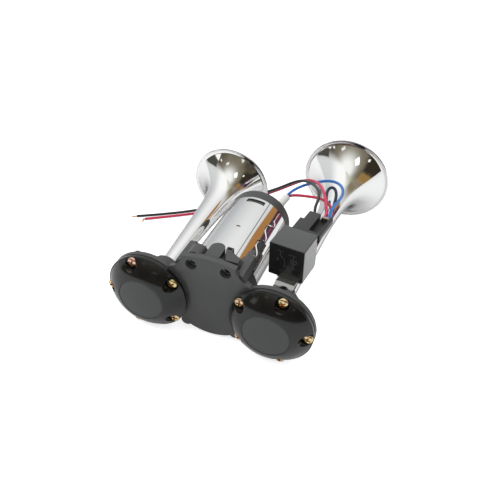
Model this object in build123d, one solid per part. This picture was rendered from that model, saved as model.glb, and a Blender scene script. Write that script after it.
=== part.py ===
"""Twin-trumpet 12 V air horn for a car: two plated trumpets on diaphragm sound heads, a vane
compressor between them, and a relay on a bracket.

Working frame of the code below, in millimetres: X across the two horns, +Y from the sound
heads towards the bells, +Z up, with both horn axes in the plane Z = 0.  Each piece is moved
once, by PLACE, so that the part's own origin is at the middle of its box, on the level of the
lowest point of the long bell.
"""
from build123d import *
import math
import os

os.makedirs("parts", exist_ok=True)

# ------------------------------------------------------------------ driving dimensions
HORN_SPACING = 91.0            # between the two horn axes
HORN_X = HORN_SPACING / 2

# trumpets
LONG_RIM_Y = 201.9             # plane of the long trumpet's bell
LONG_BELL_R = 37.8
LONG_TAPER = 0.016             # growth of radius along the tube
LONG_FLARE = 20.3              # length over which the bell opens
SHORT_RIM_Y = 154.7
SHORT_BELL_R = 34.0
SHORT_TAPER = 0.052
SHORT_FLARE = 12.2
THROAT_R = 5.6                 # outside, where a trumpet enters its head
TRUMPET_WALL = 1.2
BEAD = 1.0                     # rolled edge of a bell

# sound heads
HEAD_R = 29.7
SCREW_PCD = 52.0
SCREWS_PER_HEAD = 5
COVER_SEAT_Y = 1.5             # screws clamp here
COVER_FLANGE_T = 2.2
COVER_RISE = 9.25              # from the screw seat to the centre disc
COVER_DISC_R = 16.35
COVER_WALL = 2.0
DOME_BULGE = 0.9
POCKET_R = 4.6                 # screw pocket in the cover's cone
GASKET_T = 0.9
GASKET_BORE_R = 20.5
DIAPHRAGM_T = 0.5
HEAD_FLANGE_T = 3.2
CUP_R = 21.3
CUP_WALL = 2.2
CHAMBER_DEPTH = 9.0
NOZZLE_R = 8.0
CUP_LENGTH = 10.0              # from the head flange's seat to the start of the cone
CONE_LENGTH = 4.5
NECK_R = 10.5
NECK_END_Y = 31.0
THROAT_SEAT_Y = 19.5           # a trumpet's end stands here, inside the neck

# cover screws, M4
SCREW_R = 2.0
SCREW_CLEAR_R = 2.15
SCREW_HEAD_R = 3.75
SCREW_HEAD_H = 2.4
SCREW_LENGTH = 8.0
RECESS_W = 1.1                 # arm of the cross recess
RECESS_SPAN = 4.2
RECESS_DEPTH = 1.4

# back plate of the body moulding
PLATE_Y = 5.7
PLATE_T = 4.0
PLATE_HALF_W = 19.4
PLATE_SHOULDER_Z = 37.3
PLATE_CROWN_Z = 39.5
PLATE_ARC_R = 35.8             # lower edge, about the compressor's axis
LUG_X = 18.2                   # two lower screw lugs
LUG_Z = -20.8
LUG_R = 4.0
FIXING_X = 12.3                # two fixing holes for the vehicle's bracket
FIXING_Z = 31.7
FIXING_RECESS_R = 3.95
INSERT_R = 3.5
INSERT_BORE_R = 2.5
INSERT_LENGTH = 10.0
INSERT_SINK = 0.4
DUCT_W = 4.0                   # air duct, a groove behind the pump housing
DUCT_DEPTH = 2.2
DUCT_Z = -2.0

# compressor
AXIS_Z = 8.8                   # its axis above the horn axes
TUBE_R = 24.4
TUBE_WALL = 1.5
TUBE_START_Y = 22.0
TUBE_END_Y = 94.7
CAP_LENGTH = 9.8
CAP_EDGE_R = 1.2
CAP_WALL = 2.6
SPIGOT_LENGTH = 7.0
SLOT_ANGLE = 3.0               # locating slot, measured from the top towards +X
SLOT_W = 13.0
SLOT_L = 3.0
SLOT_Y = 90.0
SLOT_KEY_T = 1.0               # raised key of the end cap in that slot
DIMPLE_ANGLE = 2.5
DIMPLE_Y = 55.0
SEAM_ANGLE = 49.4              # jigsaw seam of the rolled tube
SEAM_REACH = 3.3               # how far its tabs stand to either side
SEAM_PITCH = 18.6
SEAM_TABS = 3
SEAM_FIRST_Y = 33.0
SEAM_CORNER_R = 1.1
SEAM_GAP = 0.3

# pump housing
DRUM_WALL = 4.8                # drum over the tube's radius
DRUM_END_Y = 22.0
POCKET_FLOOR = 1.6             # floor of the cored pockets over the tube's radius
SEAM_GROOVE = 1.8              # narrow band between plate and drum
HUB_LENGTH = 9.0
BOSS_R = 6.3
TONGUE_HALF_W = 5.1
TONGUE_END_Y = 27.0
LUG_GAP = 0.8                  # slot between the tongue and the block's square lug
LUG_W = 4.6
LUG_REACH = 3.4
BLOCK_INSET = 2.2              # the block's near corner, from the fixing hole's centre
BLOCK_HEIGHT = 4.8             # tongue and block over the tube's crown
RIB_ANGLE = 46.0               # ridged ribs of the upper long screws
RIB_HALF_W = 4.0
RIB_BACK = ((-3.4, 5.7), (0.0, 8.6), (4.7, 6.9))   # across, and height over the tube
RIB_END_Y = 29.5
RIB_LAP = 2.2                  # how far they reach past the plate's edge
RIB_SCREW_HEIGHT = 2.9         # the screws' axis over the tube
RUN_GAP = 0.35                 # moulding over plated tube

# vane pump
LINER_R = 19.0
LINER_BORE_R = 15.0
LINER_OFFSET = 1.6
ROTOR_R = 13.2
ROTOR_END_GAP = 0.05
WEAR_PLATE_T = 1.5
FRONT_PLATE_T = 1.0
LINER_LENGTH = 14.0
VANE_COUNT = 4
VANE_T = 1.9
VANE_SLOT_W = 2.0
VANE_ROOT_R = 5.8

# shaft, bearings and motor
SHAFT_R = 3.0
BEARING_GAP = 0.03
BUSH_R = 5.5
MAGNET_T = 4.4
MAGNET_SPAN = 132.0
AIR_GAP = 0.6
CORE_START_Y = 43.0
CORE_LENGTH = 34.0
TEETH = 10
TOOTH_GAP_W = 2.2
WINDING_IN_R = 9.0
END_TURN_L = 5.5
COMMUTATOR_R = 7.0
COMMUTATOR_L = 7.0
BRUSH_GAP = 0.08
BRUSH_W = 5.2
BRUSH_T = 3.8
BRUSH_L = 10.0
HOLDER_WALL = 0.7
CARD_T = 1.6

# housing screws, from the bell side
LONG_SCREW_R = 1.5
LONG_SCREW_HEAD_R = 2.6
LONG_SCREW_HEAD_H = 2.0
LONG_SCREW_TIP_Y = 7.2

# relay group, laid out in its own plan: origin on the bracket screw, yawed about it
RELAY_SCREW_Y = 26.0
RELAY_YAW = -6.9
RELAY_W = 26.0
RELAY_H = 26.8
RELAY_L = 20.4
RELAY_BASE_L = 2.5
RELAY_X = -3.8                 # middle of the relay, off the screw
RELAY_START = 11.0
RELAY_BOTTOM_Z = 12.9
TAB_T = 1.0
TAB_W = 14.0
TAB_X = -1.6
TAB_DROP = 2.0
TAB_BEND = 4.2                 # the tab starts to rise here
TAB_BEND_L = 2.6
TAB_TAIL = 5.5                 # behind the screw
TAB_REACH = 27.0
BLADE_PLACES = ((4.0, 32.5), (-6.0, 26.3), (-5.5, 19.0), (-5.2, 34.6))   # x, z
BLADE_UPRIGHT = (False, True, False, False)
BLADE_W = 6.3
BLADE_T = 0.8
BLADE_L = 9.0
SOCKET_W = 20.7
SOCKET_X = -0.35
SOCKET_L = 24.1
SOCKET_TOP_Z = 39.3
SOCKET_H = 24.3
SOCKET_STEP_W = 2.7
SOCKET_STEP_L = 13.6
CHANNEL_X = 4.3                # open wire channel along the socket
CHANNEL_W = 7.4
CHANNEL_FLOOR_Z = 34.6
SOCKET_RAIL_H = 5.0            # height of the socket's outer side, undercut below
SOCKET_FOOT_X = 0.4
SOCKET_FOOT_Z = 18.2
TERMINAL_W = 7.2
TERMINAL_T = 2.6
TERMINAL_L = 13.0
CRIMP_W = 5.4
CRIMP_H = 7.6
CRIMP_L = 2.4
CRIMP_MID_Z = 34.1
STRIP_W = 1.8                  # strip between a terminal and its crimp
STRIP_T = 1.0
CRIMP_ROW = 2.45                # the wires' spacing in the crimp
CRIMP_COLUMN = 2.5
CRIMP_END = 58.5

# bracket screw, M4, black
TAB_SCREW_HEAD_R = 3.5
TAB_SCREW_HEAD_H = 2.6

# leads
WIRE_D = 2.3
STRAND_D = 1.2
WIRE_SLACK = 0.1               # round a wire in its hole
SLEEVE_R = 3.0             # insulating sleeve on the motor's leads
SLEEVE_BORE_R = 2.45
LEAD_EXIT_INSET = 14.4         # the leads' hole in the end cap, from its side
LEAD_EXIT_RISE = 5.2           # and above its axis
SLEEVE_BEND_Y = 110.0
SLEEVE_REACH = (4.7, 15.0, 5.1)   # from its bend to its tip
LEAD_SPACING = 2.44            # between the two leads in the sleeve
LEAD_TUCK = 4.0                # how far they are drawn inside it

# ------------------------------------------------------------------ derived places
HEAD_SEAT_Y = COVER_SEAT_Y + COVER_FLANGE_T + GASKET_T + DIAPHRAGM_T
PLATE_FRONT_Y = PLATE_Y + PLATE_T
TUBE_BORE_R = TUBE_R - TUBE_WALL
CAP_END_Y = TUBE_END_Y + CAP_LENGTH
DRUM_R = TUBE_R + DRUM_WALL
DRUM_CORE_R = TUBE_R + POCKET_FLOOR
BLOCK_TOP_Z = AXIS_Z + TUBE_R + BLOCK_HEIGHT
RIB_SCREW_R = TUBE_R + RIB_SCREW_HEIGHT
LEAD_EXIT_X = TUBE_R - LEAD_EXIT_INSET
LEAD_EXIT_Z = AXIS_Z + LEAD_EXIT_RISE
SLEEVE_TIP = (LEAD_EXIT_X + SLEEVE_REACH[0], SLEEVE_BEND_Y + SLEEVE_REACH[1], LEAD_EXIT_Z + SLEEVE_REACH[2])
LINER_START_Y = PLATE_FRONT_Y + WEAR_PLATE_T
LINER_END_Y = LINER_START_Y + LINER_LENGTH
CAVITY_END_Y = LINER_END_Y + FRONT_PLATE_T
HUB_END_Y = DRUM_END_Y + HUB_LENGTH
CORE_END_Y = CORE_START_Y + CORE_LENGTH
CORE_R = TUBE_BORE_R - MAGNET_T - AIR_GAP
COMMUTATOR_Y = CORE_END_Y + END_TURN_L
BEARING_R = SHAFT_R + BEARING_GAP
CAP_BUSH_Y = CAP_END_Y - CAP_WALL - 5.0
SHAFT_END_Y = CAP_END_Y - CAP_WALL - 0.4
TAB_TOP_Z = RELAY_BOTTOM_Z - TAB_DROP
PAD_Z = TAB_TOP_Z - TAB_T
RELAY_BACK = RELAY_START + RELAY_L + RELAY_BASE_L
RELAY_MID_Z = RELAY_BOTTOM_Z + RELAY_H / 2

LEFT_EDGE = -HORN_X - SHORT_BELL_R
RIGHT_EDGE = HORN_X + LONG_BELL_R
BACK_Y = COVER_SEAT_Y - COVER_RISE
PLACE = Pos(-(LEFT_EDGE + RIGHT_EDGE) / 2, -(BACK_Y + LONG_RIM_Y) / 2, LONG_BELL_R)
COMPRESSOR = Pos(0, 0, AXIS_Z)


# ------------------------------------------------------------------ helpers
def rod(radius, y0, y1, x=0.0, z=0.0):
    """A round bar along Y."""
    return Pos(x, y0, z) * Rot(-90, 0, 0) * Cylinder(
        radius, y1 - y0, align=(Align.CENTER, Align.CENTER, Align.MIN))


def ring(outer, inner, y0, y1, x=0.0, z=0.0):
    """A round ring along Y."""
    return rod(outer, y0, y1, x, z) - rod(inner, y0, y1, x, z)


def block(x0, x1, y0, y1, z0, z1):
    """A box by its limits."""
    return Pos(x0, y0, z0) * Box(x1 - x0, y1 - y0, z1 - z0, align=(Align.MIN,) * 3)


def slab(face, y0, y1):
    """A sketch drawn as (x, z), thickened along Y."""
    return extrude(Plane.XZ.offset(-y0) * face, amount=-(y1 - y0))


def turned(*points):
    """A solid of revolution about Y from (radius, y) points."""
    return revolve(make_face(Polyline(*points, close=True)), Axis.Y)


def around(shape, angle, x=0.0, z=0.0):
    """Turns a shape about a Y axis through (x, z); a positive angle goes from +Z to +X."""
    return Pos(x, 0, z) * Rot(0, angle, 0) * Pos(-x, 0, -z) * shape


def screw_places(side):
    """Centres of one head's cover screws: one points straight outwards."""
    step = 360.0 / SCREWS_PER_HEAD
    for index in range(SCREWS_PER_HEAD):
        turn = math.radians(index * step)
        yield (side * (HORN_X + SCREW_PCD / 2 * math.cos(turn)), SCREW_PCD / 2 * math.sin(turn))


def cross_recess(depth, y_top):
    """The tool that cuts a cross recess, pointing along +Y."""
    arm = Pos(0, y_top + depth / 2, 0) * Box(RECESS_SPAN, depth, RECESS_W)
    return arm + Rot(0, 90, 0) * arm


# ------------------------------------------------------------------ body and heads
def plate_face(inset=0.0):
    """Outline of the back plate: crowned top, waist between the heads, round foot with lugs."""
    half, shoulder = PLATE_HALF_W - inset, PLATE_SHOULDER_Z - inset
    crown = PLATE_CROWN_Z - inset
    waist_z = PLATE_ARC_R * 0.3 + AXIS_Z
    neck_z, hip = FIXING_Z + 3.0, PLATE_ARC_R - 6.5 - inset
    edge = [
        ThreePointArc((-half, shoulder), (0, crown), (half, shoulder)),
        Line((half, shoulder), (half, neck_z)),
        ThreePointArc((half, neck_z), (half + 3.0, neck_z - 5.0), (hip, neck_z - 9.5)),
        Line((hip, neck_z - 9.5), (hip + 3.5, waist_z)),
        Line((hip + 3.5, waist_z), (-hip - 3.5, waist_z)),
        Line((-hip - 3.5, waist_z), (-hip, neck_z - 9.5)),
        ThreePointArc((-hip, neck_z - 9.5), (-half - 3.0, neck_z - 5.0), (-half, neck_z)),
        Line((-half, neck_z), (-half, shoulder)),
    ]
    top = make_face(edge)
    foot = Pos(0, AXIS_Z) * Circle(PLATE_ARC_R - inset)
    foot -= Pos(0, waist_z + PLATE_ARC_R) * Rectangle(4 * PLATE_ARC_R, 2 * PLATE_ARC_R)
    face = top + foot
    for side in (-1, 1):
        face += Pos(side * LUG_X, LUG_Z) * Circle(LUG_R - inset)
    return face


def head_shell(side):
    """One sound head of the body: flange, cup, cone and trumpet neck, without its hollows."""
    cup_end = HEAD_SEAT_Y + CUP_LENGTH
    solid = turned(
        (0, HEAD_SEAT_Y), (HEAD_R, HEAD_SEAT_Y), (HEAD_R, HEAD_SEAT_Y + HEAD_FLANGE_T),
        (CUP_R, HEAD_SEAT_Y + HEAD_FLANGE_T), (CUP_R, cup_end), (NECK_R, cup_end + CONE_LENGTH),
        (NECK_R, NECK_END_Y), (0, NECK_END_Y))
    solid = Pos(side * HORN_X, 0, 0) * solid
    for x, z in screw_places(side):
        solid += rod(SCREW_R + 1.5, HEAD_SEAT_Y, PLATE_FRONT_Y, x, z)
    return solid


def head_hollow(side):
    """What is cored out of one head: ring chamber, throat and trumpet socket."""
    chamber = ring(CUP_R - CUP_WALL, NOZZLE_R, HEAD_SEAT_Y, HEAD_SEAT_Y + CHAMBER_DEPTH)
    throat = rod(THROAT_R - TRUMPET_WALL, HEAD_SEAT_Y, THROAT_SEAT_Y)
    socket = rod(THROAT_R, THROAT_SEAT_Y, NECK_END_Y)
    hollow = Pos(side * HORN_X, 0, 0) * (chamber + throat + socket)
    for x, z in screw_places(side):
        hollow += rod(SCREW_R, HEAD_SEAT_Y, COVER_SEAT_Y + SCREW_LENGTH, x, z)
    return hollow


def horn_body():
    """The body moulding: back plate and both sound heads in one piece."""
    body = slab(plate_face(), PLATE_Y, PLATE_FRONT_Y)
    for side in (-1, 1):
        body += head_shell(side)
    pad_half = TAB_W / 2 + 0.2
    pad = block(HORN_X - pad_half, HORN_X + pad_half, RELAY_SCREW_Y - 6, NECK_END_Y, 3.0, PAD_Z)
    body += pad - rod(NECK_R - 1, 0, NECK_END_Y, HORN_X)
    body -= block(HORN_X - NECK_R, HORN_X + NECK_R, THROAT_SEAT_Y + 0.5, NECK_END_Y, PAD_Z, NECK_R + 1)
    for side in (-1, 1):
        body -= head_hollow(side)
        body -= rod(FIXING_RECESS_R, PLATE_Y, PLATE_FRONT_Y, side * FIXING_X, FIXING_Z)
        body -= rod(LONG_SCREW_R, LONG_SCREW_TIP_Y, PLATE_FRONT_Y, side * LUG_X, LUG_Z)
        x, z = rib_place(side)
        body -= rod(LONG_SCREW_R, LONG_SCREW_TIP_Y, PLATE_FRONT_Y, x, z)
    reach = HORN_X - CUP_R + CUP_WALL + 0.5
    body -= block(-reach, reach, PLATE_FRONT_Y - DUCT_DEPTH, PLATE_FRONT_Y,
                  DUCT_Z - DUCT_W / 2, DUCT_Z + DUCT_W / 2)
    body -= Pos(HORN_X, RELAY_SCREW_Y, PAD_Z - 4.0) * Cylinder(
        SCREW_R, 4.0, align=(Align.CENTER, Align.CENTER, Align.MIN))
    return body


def cover(side):
    """A head's outer cover: coned shell with a flat centre disc and a pocket at each screw."""
    disc_y = COVER_SEAT_Y - COVER_RISE
    flange_y = COVER_SEAT_Y + COVER_FLANGE_T
    cone_r = HEAD_R - 0.7

    def cone(radius_0, y_0, radius_1, y_1, floor_y):
        middle = ((radius_0 + radius_1) / 2 + DOME_BULGE, (y_0 + y_1) / 2 - DOME_BULGE)
        outline = [
            Line((0, y_0), (radius_0, y_0)),
            ThreePointArc((radius_0, y_0), middle, (radius_1, y_1)),
            Line((radius_1, y_1), (radius_1, floor_y)),
            Line((radius_1, floor_y), (0, floor_y)),
            Line((0, floor_y), (0, y_0)),
        ]
        return revolve(make_face(outline), Axis.Y)

    shell = cone(COVER_DISC_R, disc_y, cone_r, COVER_SEAT_Y, flange_y)
    shell += rod(HEAD_R, COVER_SEAT_Y, flange_y)
    rim_groove = ring(COVER_DISC_R + 0.1, COVER_DISC_R - 0.7, disc_y - 1, disc_y + 0.35)
    hollow = cone(COVER_DISC_R - 1.4, disc_y + COVER_WALL, cone_r - 3.6, COVER_SEAT_Y + 0.6, flange_y)
    shell = Pos(side * HORN_X, 0, 0) * (shell - rim_groove)
    hollow = Pos(side * HORN_X, 0, 0) * hollow
    for x, z in screw_places(side):
        hollow -= rod(POCKET_R + 1.4, disc_y, flange_y, x, z)
    shell -= hollow
    for x, z in screw_places(side):
        shell -= rod(POCKET_R, disc_y - 1, COVER_SEAT_Y, x, z)
        shell -= rod(SCREW_CLEAR_R, COVER_SEAT_Y, flange_y, x, z)
    return shell


def head_ring(side, outer, bore, y0, thickness):
    """A flat ring or disc clamped between cover and head, with the screws passing through."""
    piece = rod(outer, y0, y0 + thickness, side * HORN_X)
    if bore:
        piece -= rod(bore, y0, y0 + thickness, side * HORN_X)
    for x, z in screw_places(side):
        piece -= rod(SCREW_CLEAR_R, y0, y0 + thickness, x, z)
    return piece


def cover_screws(side):
    """The cross-head screws of one cover, as separate solids."""
    profile = [
        Line((0, -SCREW_HEAD_H), (SCREW_HEAD_R * 0.55, -SCREW_HEAD_H)),
        ThreePointArc((SCREW_HEAD_R * 0.55, -SCREW_HEAD_H), (SCREW_HEAD_R * 0.9, -SCREW_HEAD_H * 0.72),
                      (SCREW_HEAD_R, 0)),
        Line((SCREW_HEAD_R, 0), (SCREW_R, 0)),
        Line((SCREW_R, 0), (SCREW_R, SCREW_LENGTH - 0.8)),
        Line((SCREW_R, SCREW_LENGTH - 0.8), (SCREW_R - 0.8, SCREW_LENGTH)),
        Line((SCREW_R - 0.8, SCREW_LENGTH), (0, SCREW_LENGTH)),
        Line((0, SCREW_LENGTH), (0, -SCREW_HEAD_H)),
    ]
    screw = revolve(make_face(profile), Axis.Y) - cross_recess(RECESS_DEPTH, -SCREW_HEAD_H)
    screws = []
    for index, (x, z) in enumerate(screw_places(side)):
        screws.append(Pos(x, COVER_SEAT_Y, z) * Rot(0, 25 + 31 * index, 0) * screw)
    return screws


# ------------------------------------------------------------------ trumpets
def trumpet(side, rim_y, bell_r, taper, flare):
    """A thin-walled trumpet: slim tapering tube, bell that opens exponentially, rolled edge."""
    tube_r = THROAT_R + taper * (rim_y - NECK_END_Y)
    opening = bell_r - BEAD - tube_r

    def wall(y):
        """Outer radius and its slope at a place along the trumpet."""
        swell = opening * math.exp((y - rim_y) / flare)
        return THROAT_R + taper * max(y - NECK_END_Y, 0) + swell, taper + swell / flare

    places = [rim_y - flare * share for share in (5.4, 4.4, 3.6, 2.9, 2.3, 1.8, 1.35, 0.95, 0.6, 0.3)]
    outer = [(wall(y)[0], y) for y in places]
    inner = []
    for y in places:
        radius, slope = wall(y)
        lean = math.hypot(1, slope)
        inner.append((radius - TRUMPET_WALL / lean, y + TRUMPET_WALL * slope / lean))
    bore = THROAT_R - TRUMPET_WALL
    lip_out = (bell_r - 1.3 * BEAD, rim_y - 2.2 * BEAD)
    lip_in = (bell_r - 2.6 * BEAD, rim_y - 0.4 * BEAD)
    outer.append(lip_out)
    inner.append(lip_in)
    outline = [
        Line((bore, THROAT_SEAT_Y), (THROAT_R, THROAT_SEAT_Y)),
        Line((THROAT_R, THROAT_SEAT_Y), (THROAT_R, NECK_END_Y)),
        Line((THROAT_R, NECK_END_Y), outer[0]),
        Spline(*outer, tangents=[(taper, 1), (wall(rim_y)[1], 1)]),
        ThreePointArc(lip_out, (bell_r, rim_y - BEAD), (bell_r - BEAD, rim_y)),
        Line((bell_r - BEAD, rim_y), lip_in),
        Spline(*inner[::-1], tangents=[(-wall(rim_y)[1], -1), (-taper, -1)]),
        Line(inner[0], (bore, NECK_END_Y)),
        Line((bore, NECK_END_Y), (bore, THROAT_SEAT_Y)),
    ]
    return Pos(side * HORN_X, 0, 0) * revolve(make_face(outline), Axis.Y)


# ------------------------------------------------------------------ compressor
def rib_place(side):
    """Where a long housing screw runs through its rib."""
    turn = math.radians(RIB_ANGLE)
    return side * RIB_SCREW_R * math.sin(turn), AXIS_Z + RIB_SCREW_R * math.cos(turn)


def rib_bar(side, y0, y1):
    """A length of the ridged rib that lies along the tube's shoulder."""
    back = [(side * across, TUBE_R + height) for across, height in RIB_BACK]
    outline = [(-side * RIB_HALF_W, TUBE_BORE_R), *back, (side * RIB_HALF_W, TUBE_BORE_R)]
    bar = slab(make_face(Polyline(*outline, close=True)), y0, y1)
    return COMPRESSOR * Rot(0, side * RIB_ANGLE, 0) * bar


def long_screw_places():
    """The four screws that hold the pump housing to the plate."""
    return [rib_place(-1), rib_place(1), (-LUG_X, LUG_Z), (LUG_X, LUG_Z)]


def pump_housing():
    """The pump's moulding: drum with cored pockets, bosses, ribs and a hub inside the tube."""
    start = PLATE_FRONT_Y
    band_end = start + SEAM_GROOVE
    drum = rod(DRUM_R, band_end, DRUM_END_Y, 0, AXIS_Z)
    band = slab(plate_face(inset=2.6), start, band_end)
    hub = rod(TUBE_BORE_R, DRUM_END_Y, HUB_END_Y, 0, AXIS_Z)
    body = drum + band + hub

    # pockets cored out of the drum's crown, either side of the tongue
    lug_x = TONGUE_HALF_W + LUG_GAP
    shell = ring(DRUM_R + 2, DRUM_CORE_R, band_end + 1.2, DRUM_END_Y, 0, AXIS_Z)
    left_pocket = block(-FIXING_X + BOSS_R - 2.4, -TONGUE_HALF_W, start, DRUM_END_Y, AXIS_Z, DRUM_R + 20)
    right_pocket = extrude(
        make_face(Polyline((TONGUE_HALF_W, DRUM_END_Y), (TONGUE_HALF_W, start),
                           (FIXING_X - BLOCK_INSET, start), (lug_x, DRUM_END_Y), close=True)),
        amount=DRUM_R + 20)
    body -= shell & (left_pocket + Pos(0, 0, AXIS_Z) * right_pocket)

    # round boss and flat block round the fixing inserts, tongue and lug between them
    boss = rod(BOSS_R, band_end, DRUM_END_Y, -FIXING_X - 0.3, FIXING_Z)
    boss = chamfer(boss.faces().sort_by(Axis.Y)[-1].edges(), 0.8)
    deep = BLOCK_TOP_Z - (AXIS_Z + TUBE_R) + 4.0
    tongue_face = Pos(0, (band_end + TONGUE_END_Y - TONGUE_HALF_W) / 2) * Rectangle(
        2 * TONGUE_HALF_W, TONGUE_END_Y - TONGUE_HALF_W - band_end)
    tongue_face += Pos(0, TONGUE_END_Y - TONGUE_HALF_W) * Circle(TONGUE_HALF_W)
    lug_y = DRUM_END_Y + LUG_REACH
    block_face = make_face(Polyline(
        (FIXING_X - BLOCK_INSET, band_end), (lug_x, DRUM_END_Y), (lug_x, lug_y), (lug_x + LUG_W, lug_y - 0.3),
        (lug_x + LUG_W, DRUM_END_Y - 0.8), (FIXING_X + BOSS_R, 16.4), (FIXING_X + BOSS_R, band_end),
        close=True))
    crown = extrude(Pos(0, 0, BLOCK_TOP_Z - deep) * (tongue_face + block_face), amount=deep)
    crown -= block(lug_x + 0.9, lug_x + LUG_W - 0.9, lug_y - 2.9, lug_y - 1.0, BLOCK_TOP_Z - 2.6, BLOCK_TOP_Z)
    body += boss + crown

    # two ridged ribs and two lower columns carry the long screws
    for side in (-1, 1):
        body += rib_bar(side, start, RIB_END_Y)
        body += rib_bar(side, start - RIB_LAP, start) - slab(plate_face(inset=-0.4), PLATE_Y, start)
        column = rod(LUG_R - 0.4, start, RIB_END_Y, side * LUG_X, LUG_Z)
        web = block(side * LUG_X - 1.5, side * LUG_X + 1.5, start, DRUM_END_Y, LUG_Z, AXIS_Z - 20)
        body += column + web
    body -= rod(TUBE_R + RUN_GAP, DRUM_END_Y, RIB_END_Y + 1, 0, AXIS_Z) - hub

    # room for the sound heads' cups
    for side in (-1, 1):
        body -= rod(CUP_R + 0.3, 0, HUB_END_Y, side * HORN_X)
        for x, z in screw_places(side):
            body -= rod(SCREW_R + 1.8, 0, PLATE_FRONT_Y + 0.2, x, z)

    # pump cavity, rear bearing seat, insert seats and screw holes
    body -= rod(LINER_R, start, CAVITY_END_Y, 0, AXIS_Z)
    body -= rod(BUSH_R, CAVITY_END_Y, HUB_END_Y, 0, AXIS_Z)
    for side in (-1, 1):
        body -= rod(INSERT_R, start, start + INSERT_SINK + INSERT_LENGTH, side * FIXING_X, FIXING_Z)
    for x, z in long_screw_places():
        body -= rod(LONG_SCREW_R, start, RIB_END_Y, x, z)
    return body


def fixing_inserts():
    """Two round steel nuts moulded into the housing, for the vehicle's bracket."""
    y0 = PLATE_FRONT_Y + INSERT_SINK
    return [ring(INSERT_R, INSERT_BORE_R, y0, y0 + INSERT_LENGTH, side * FIXING_X, FIXING_Z)
            for side in (-1, 1)]


def housing_screws():
    """Long screws with pan heads, driven from the bell side."""
    screws = []
    for x, z in long_screw_places():
        screw = rod(LONG_SCREW_R, LONG_SCREW_TIP_Y, RIB_END_Y, x, z)
        head = rod(LONG_SCREW_HEAD_R, RIB_END_Y, RIB_END_Y + LONG_SCREW_HEAD_H, x, z)
        head = fillet(head.faces().sort_by(Axis.Y)[-1].edges(), 0.8)
        recess = Pos(x, RIB_END_Y + LONG_SCREW_HEAD_H - 0.6, z) * Box(3.2, 1.2, 0.9)
        recess += Pos(x, RIB_END_Y + LONG_SCREW_HEAD_H - 0.6, z) * Box(0.9, 1.2, 3.2)
        screws.append(screw + head - recess)
    return screws


def pump_liner():
    """Hardened ring whose bore is off the shaft's axis."""
    return (rod(LINER_R, LINER_START_Y, LINER_END_Y, 0, AXIS_Z)
            - rod(LINER_BORE_R, LINER_START_Y, LINER_END_Y, 0, AXIS_Z + LINER_OFFSET))


def wear_plates():
    """Two flat plates that close the liner: a blind one and one that the shaft passes."""
    rear = rod(LINER_R, PLATE_FRONT_Y, LINER_START_Y, 0, AXIS_Z)
    port = rod(1.6, PLATE_FRONT_Y, LINER_START_Y, 0, AXIS_Z - LINER_BORE_R + 4.2)
    front = ring(LINER_R, SHAFT_R + 0.4, LINER_END_Y, CAVITY_END_Y, 0, AXIS_Z)
    return [rear - port, front]


def pump_rotor():
    """Slotted rotor on the shaft's rear end."""
    y0, y1 = LINER_START_Y + ROTOR_END_GAP, LINER_END_Y - ROTOR_END_GAP
    body = ring(ROTOR_R, SHAFT_R, y0, y1, 0, AXIS_Z)
    for index in range(VANE_COUNT):
        slot = block(-VANE_SLOT_W / 2, VANE_SLOT_W / 2, y0, y1, VANE_ROOT_R, ROTOR_R + 1)
        body -= COMPRESSOR * Rot(0, 360 / VANE_COUNT * index, 0) * slot
    return body


def pump_vanes():
    """Carbon vanes, drawn fully home in their slots."""
    y0, y1 = LINER_START_Y + 2 * ROTOR_END_GAP, LINER_END_Y - 2 * ROTOR_END_GAP
    vane = block(-VANE_T / 2, VANE_T / 2, y0, y1, VANE_ROOT_R, ROTOR_R - 0.15)
    return [COMPRESSOR * Rot(0, 360 / VANE_COUNT * index, 0) * vane for index in range(VANE_COUNT)]


def motor_shaft():
    """One shaft carries the pump rotor and the armature."""
    shaft = rod(SHAFT_R, LINER_START_Y + ROTOR_END_GAP, SHAFT_END_Y, 0, AXIS_Z)
    return chamfer(shaft.edges().filter_by(GeomType.CIRCLE), 0.3)


def bearing_bush(y0, y1, outer):
    """Sintered bronze bush."""
    return ring(outer, BEARING_R, y0, y1, 0, AXIS_Z)


def seam_path():
    """The jigsaw seam of the rolled tube, drawn flat as (across, along): rounded dovetails."""
    quarter, reach = SEAM_PITCH / 4, SEAM_REACH
    lean = quarter * 0.3
    points = [(0, TUBE_START_Y - 1), (0, SEAM_FIRST_Y - quarter - 3 * lean)]
    for tab in range(SEAM_TABS):
        middle = SEAM_FIRST_Y + tab * SEAM_PITCH
        points += [(-reach, middle - quarter - lean), (-reach, middle + quarter + lean),
                   (reach, middle + quarter - lean), (reach, middle + 3 * quarter + lean)]
    last = points[-1][1]
    return points + [(-reach, last - 2 * lean), (-reach, TUBE_END_Y + 1)]


def motor_tube():
    """Rolled steel tube: jigsaw seam, locating slot and a punched dimple."""
    tube = ring(TUBE_R, TUBE_BORE_R, TUBE_START_Y, TUBE_END_Y, 0, AXIS_Z)
    path = FilletPolyline(*seam_path(), radius=SEAM_CORNER_R)
    seam = extrude(trace(path, line_width=SEAM_GAP), amount=TUBE_WALL + 2)
    tube -= COMPRESSOR * Rot(0, SEAM_ANGLE, 0) * Pos(0, 0, TUBE_BORE_R - 1.5) * seam
    slot = block(-SLOT_W / 2, SLOT_W / 2, SLOT_Y - SLOT_L / 2, SLOT_Y + SLOT_L / 2,
                 TUBE_BORE_R - 1, TUBE_R + 1)
    tube -= COMPRESSOR * Rot(0, SLOT_ANGLE, 0) * slot
    dimple = Pos(0, DIMPLE_Y, TUBE_R + 0.9) * Rot(24, 0, 0) * Cylinder(1.9, 1.6)
    return tube - COMPRESSOR * Rot(0, DIMPLE_ANGLE, 0) * dimple


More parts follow.
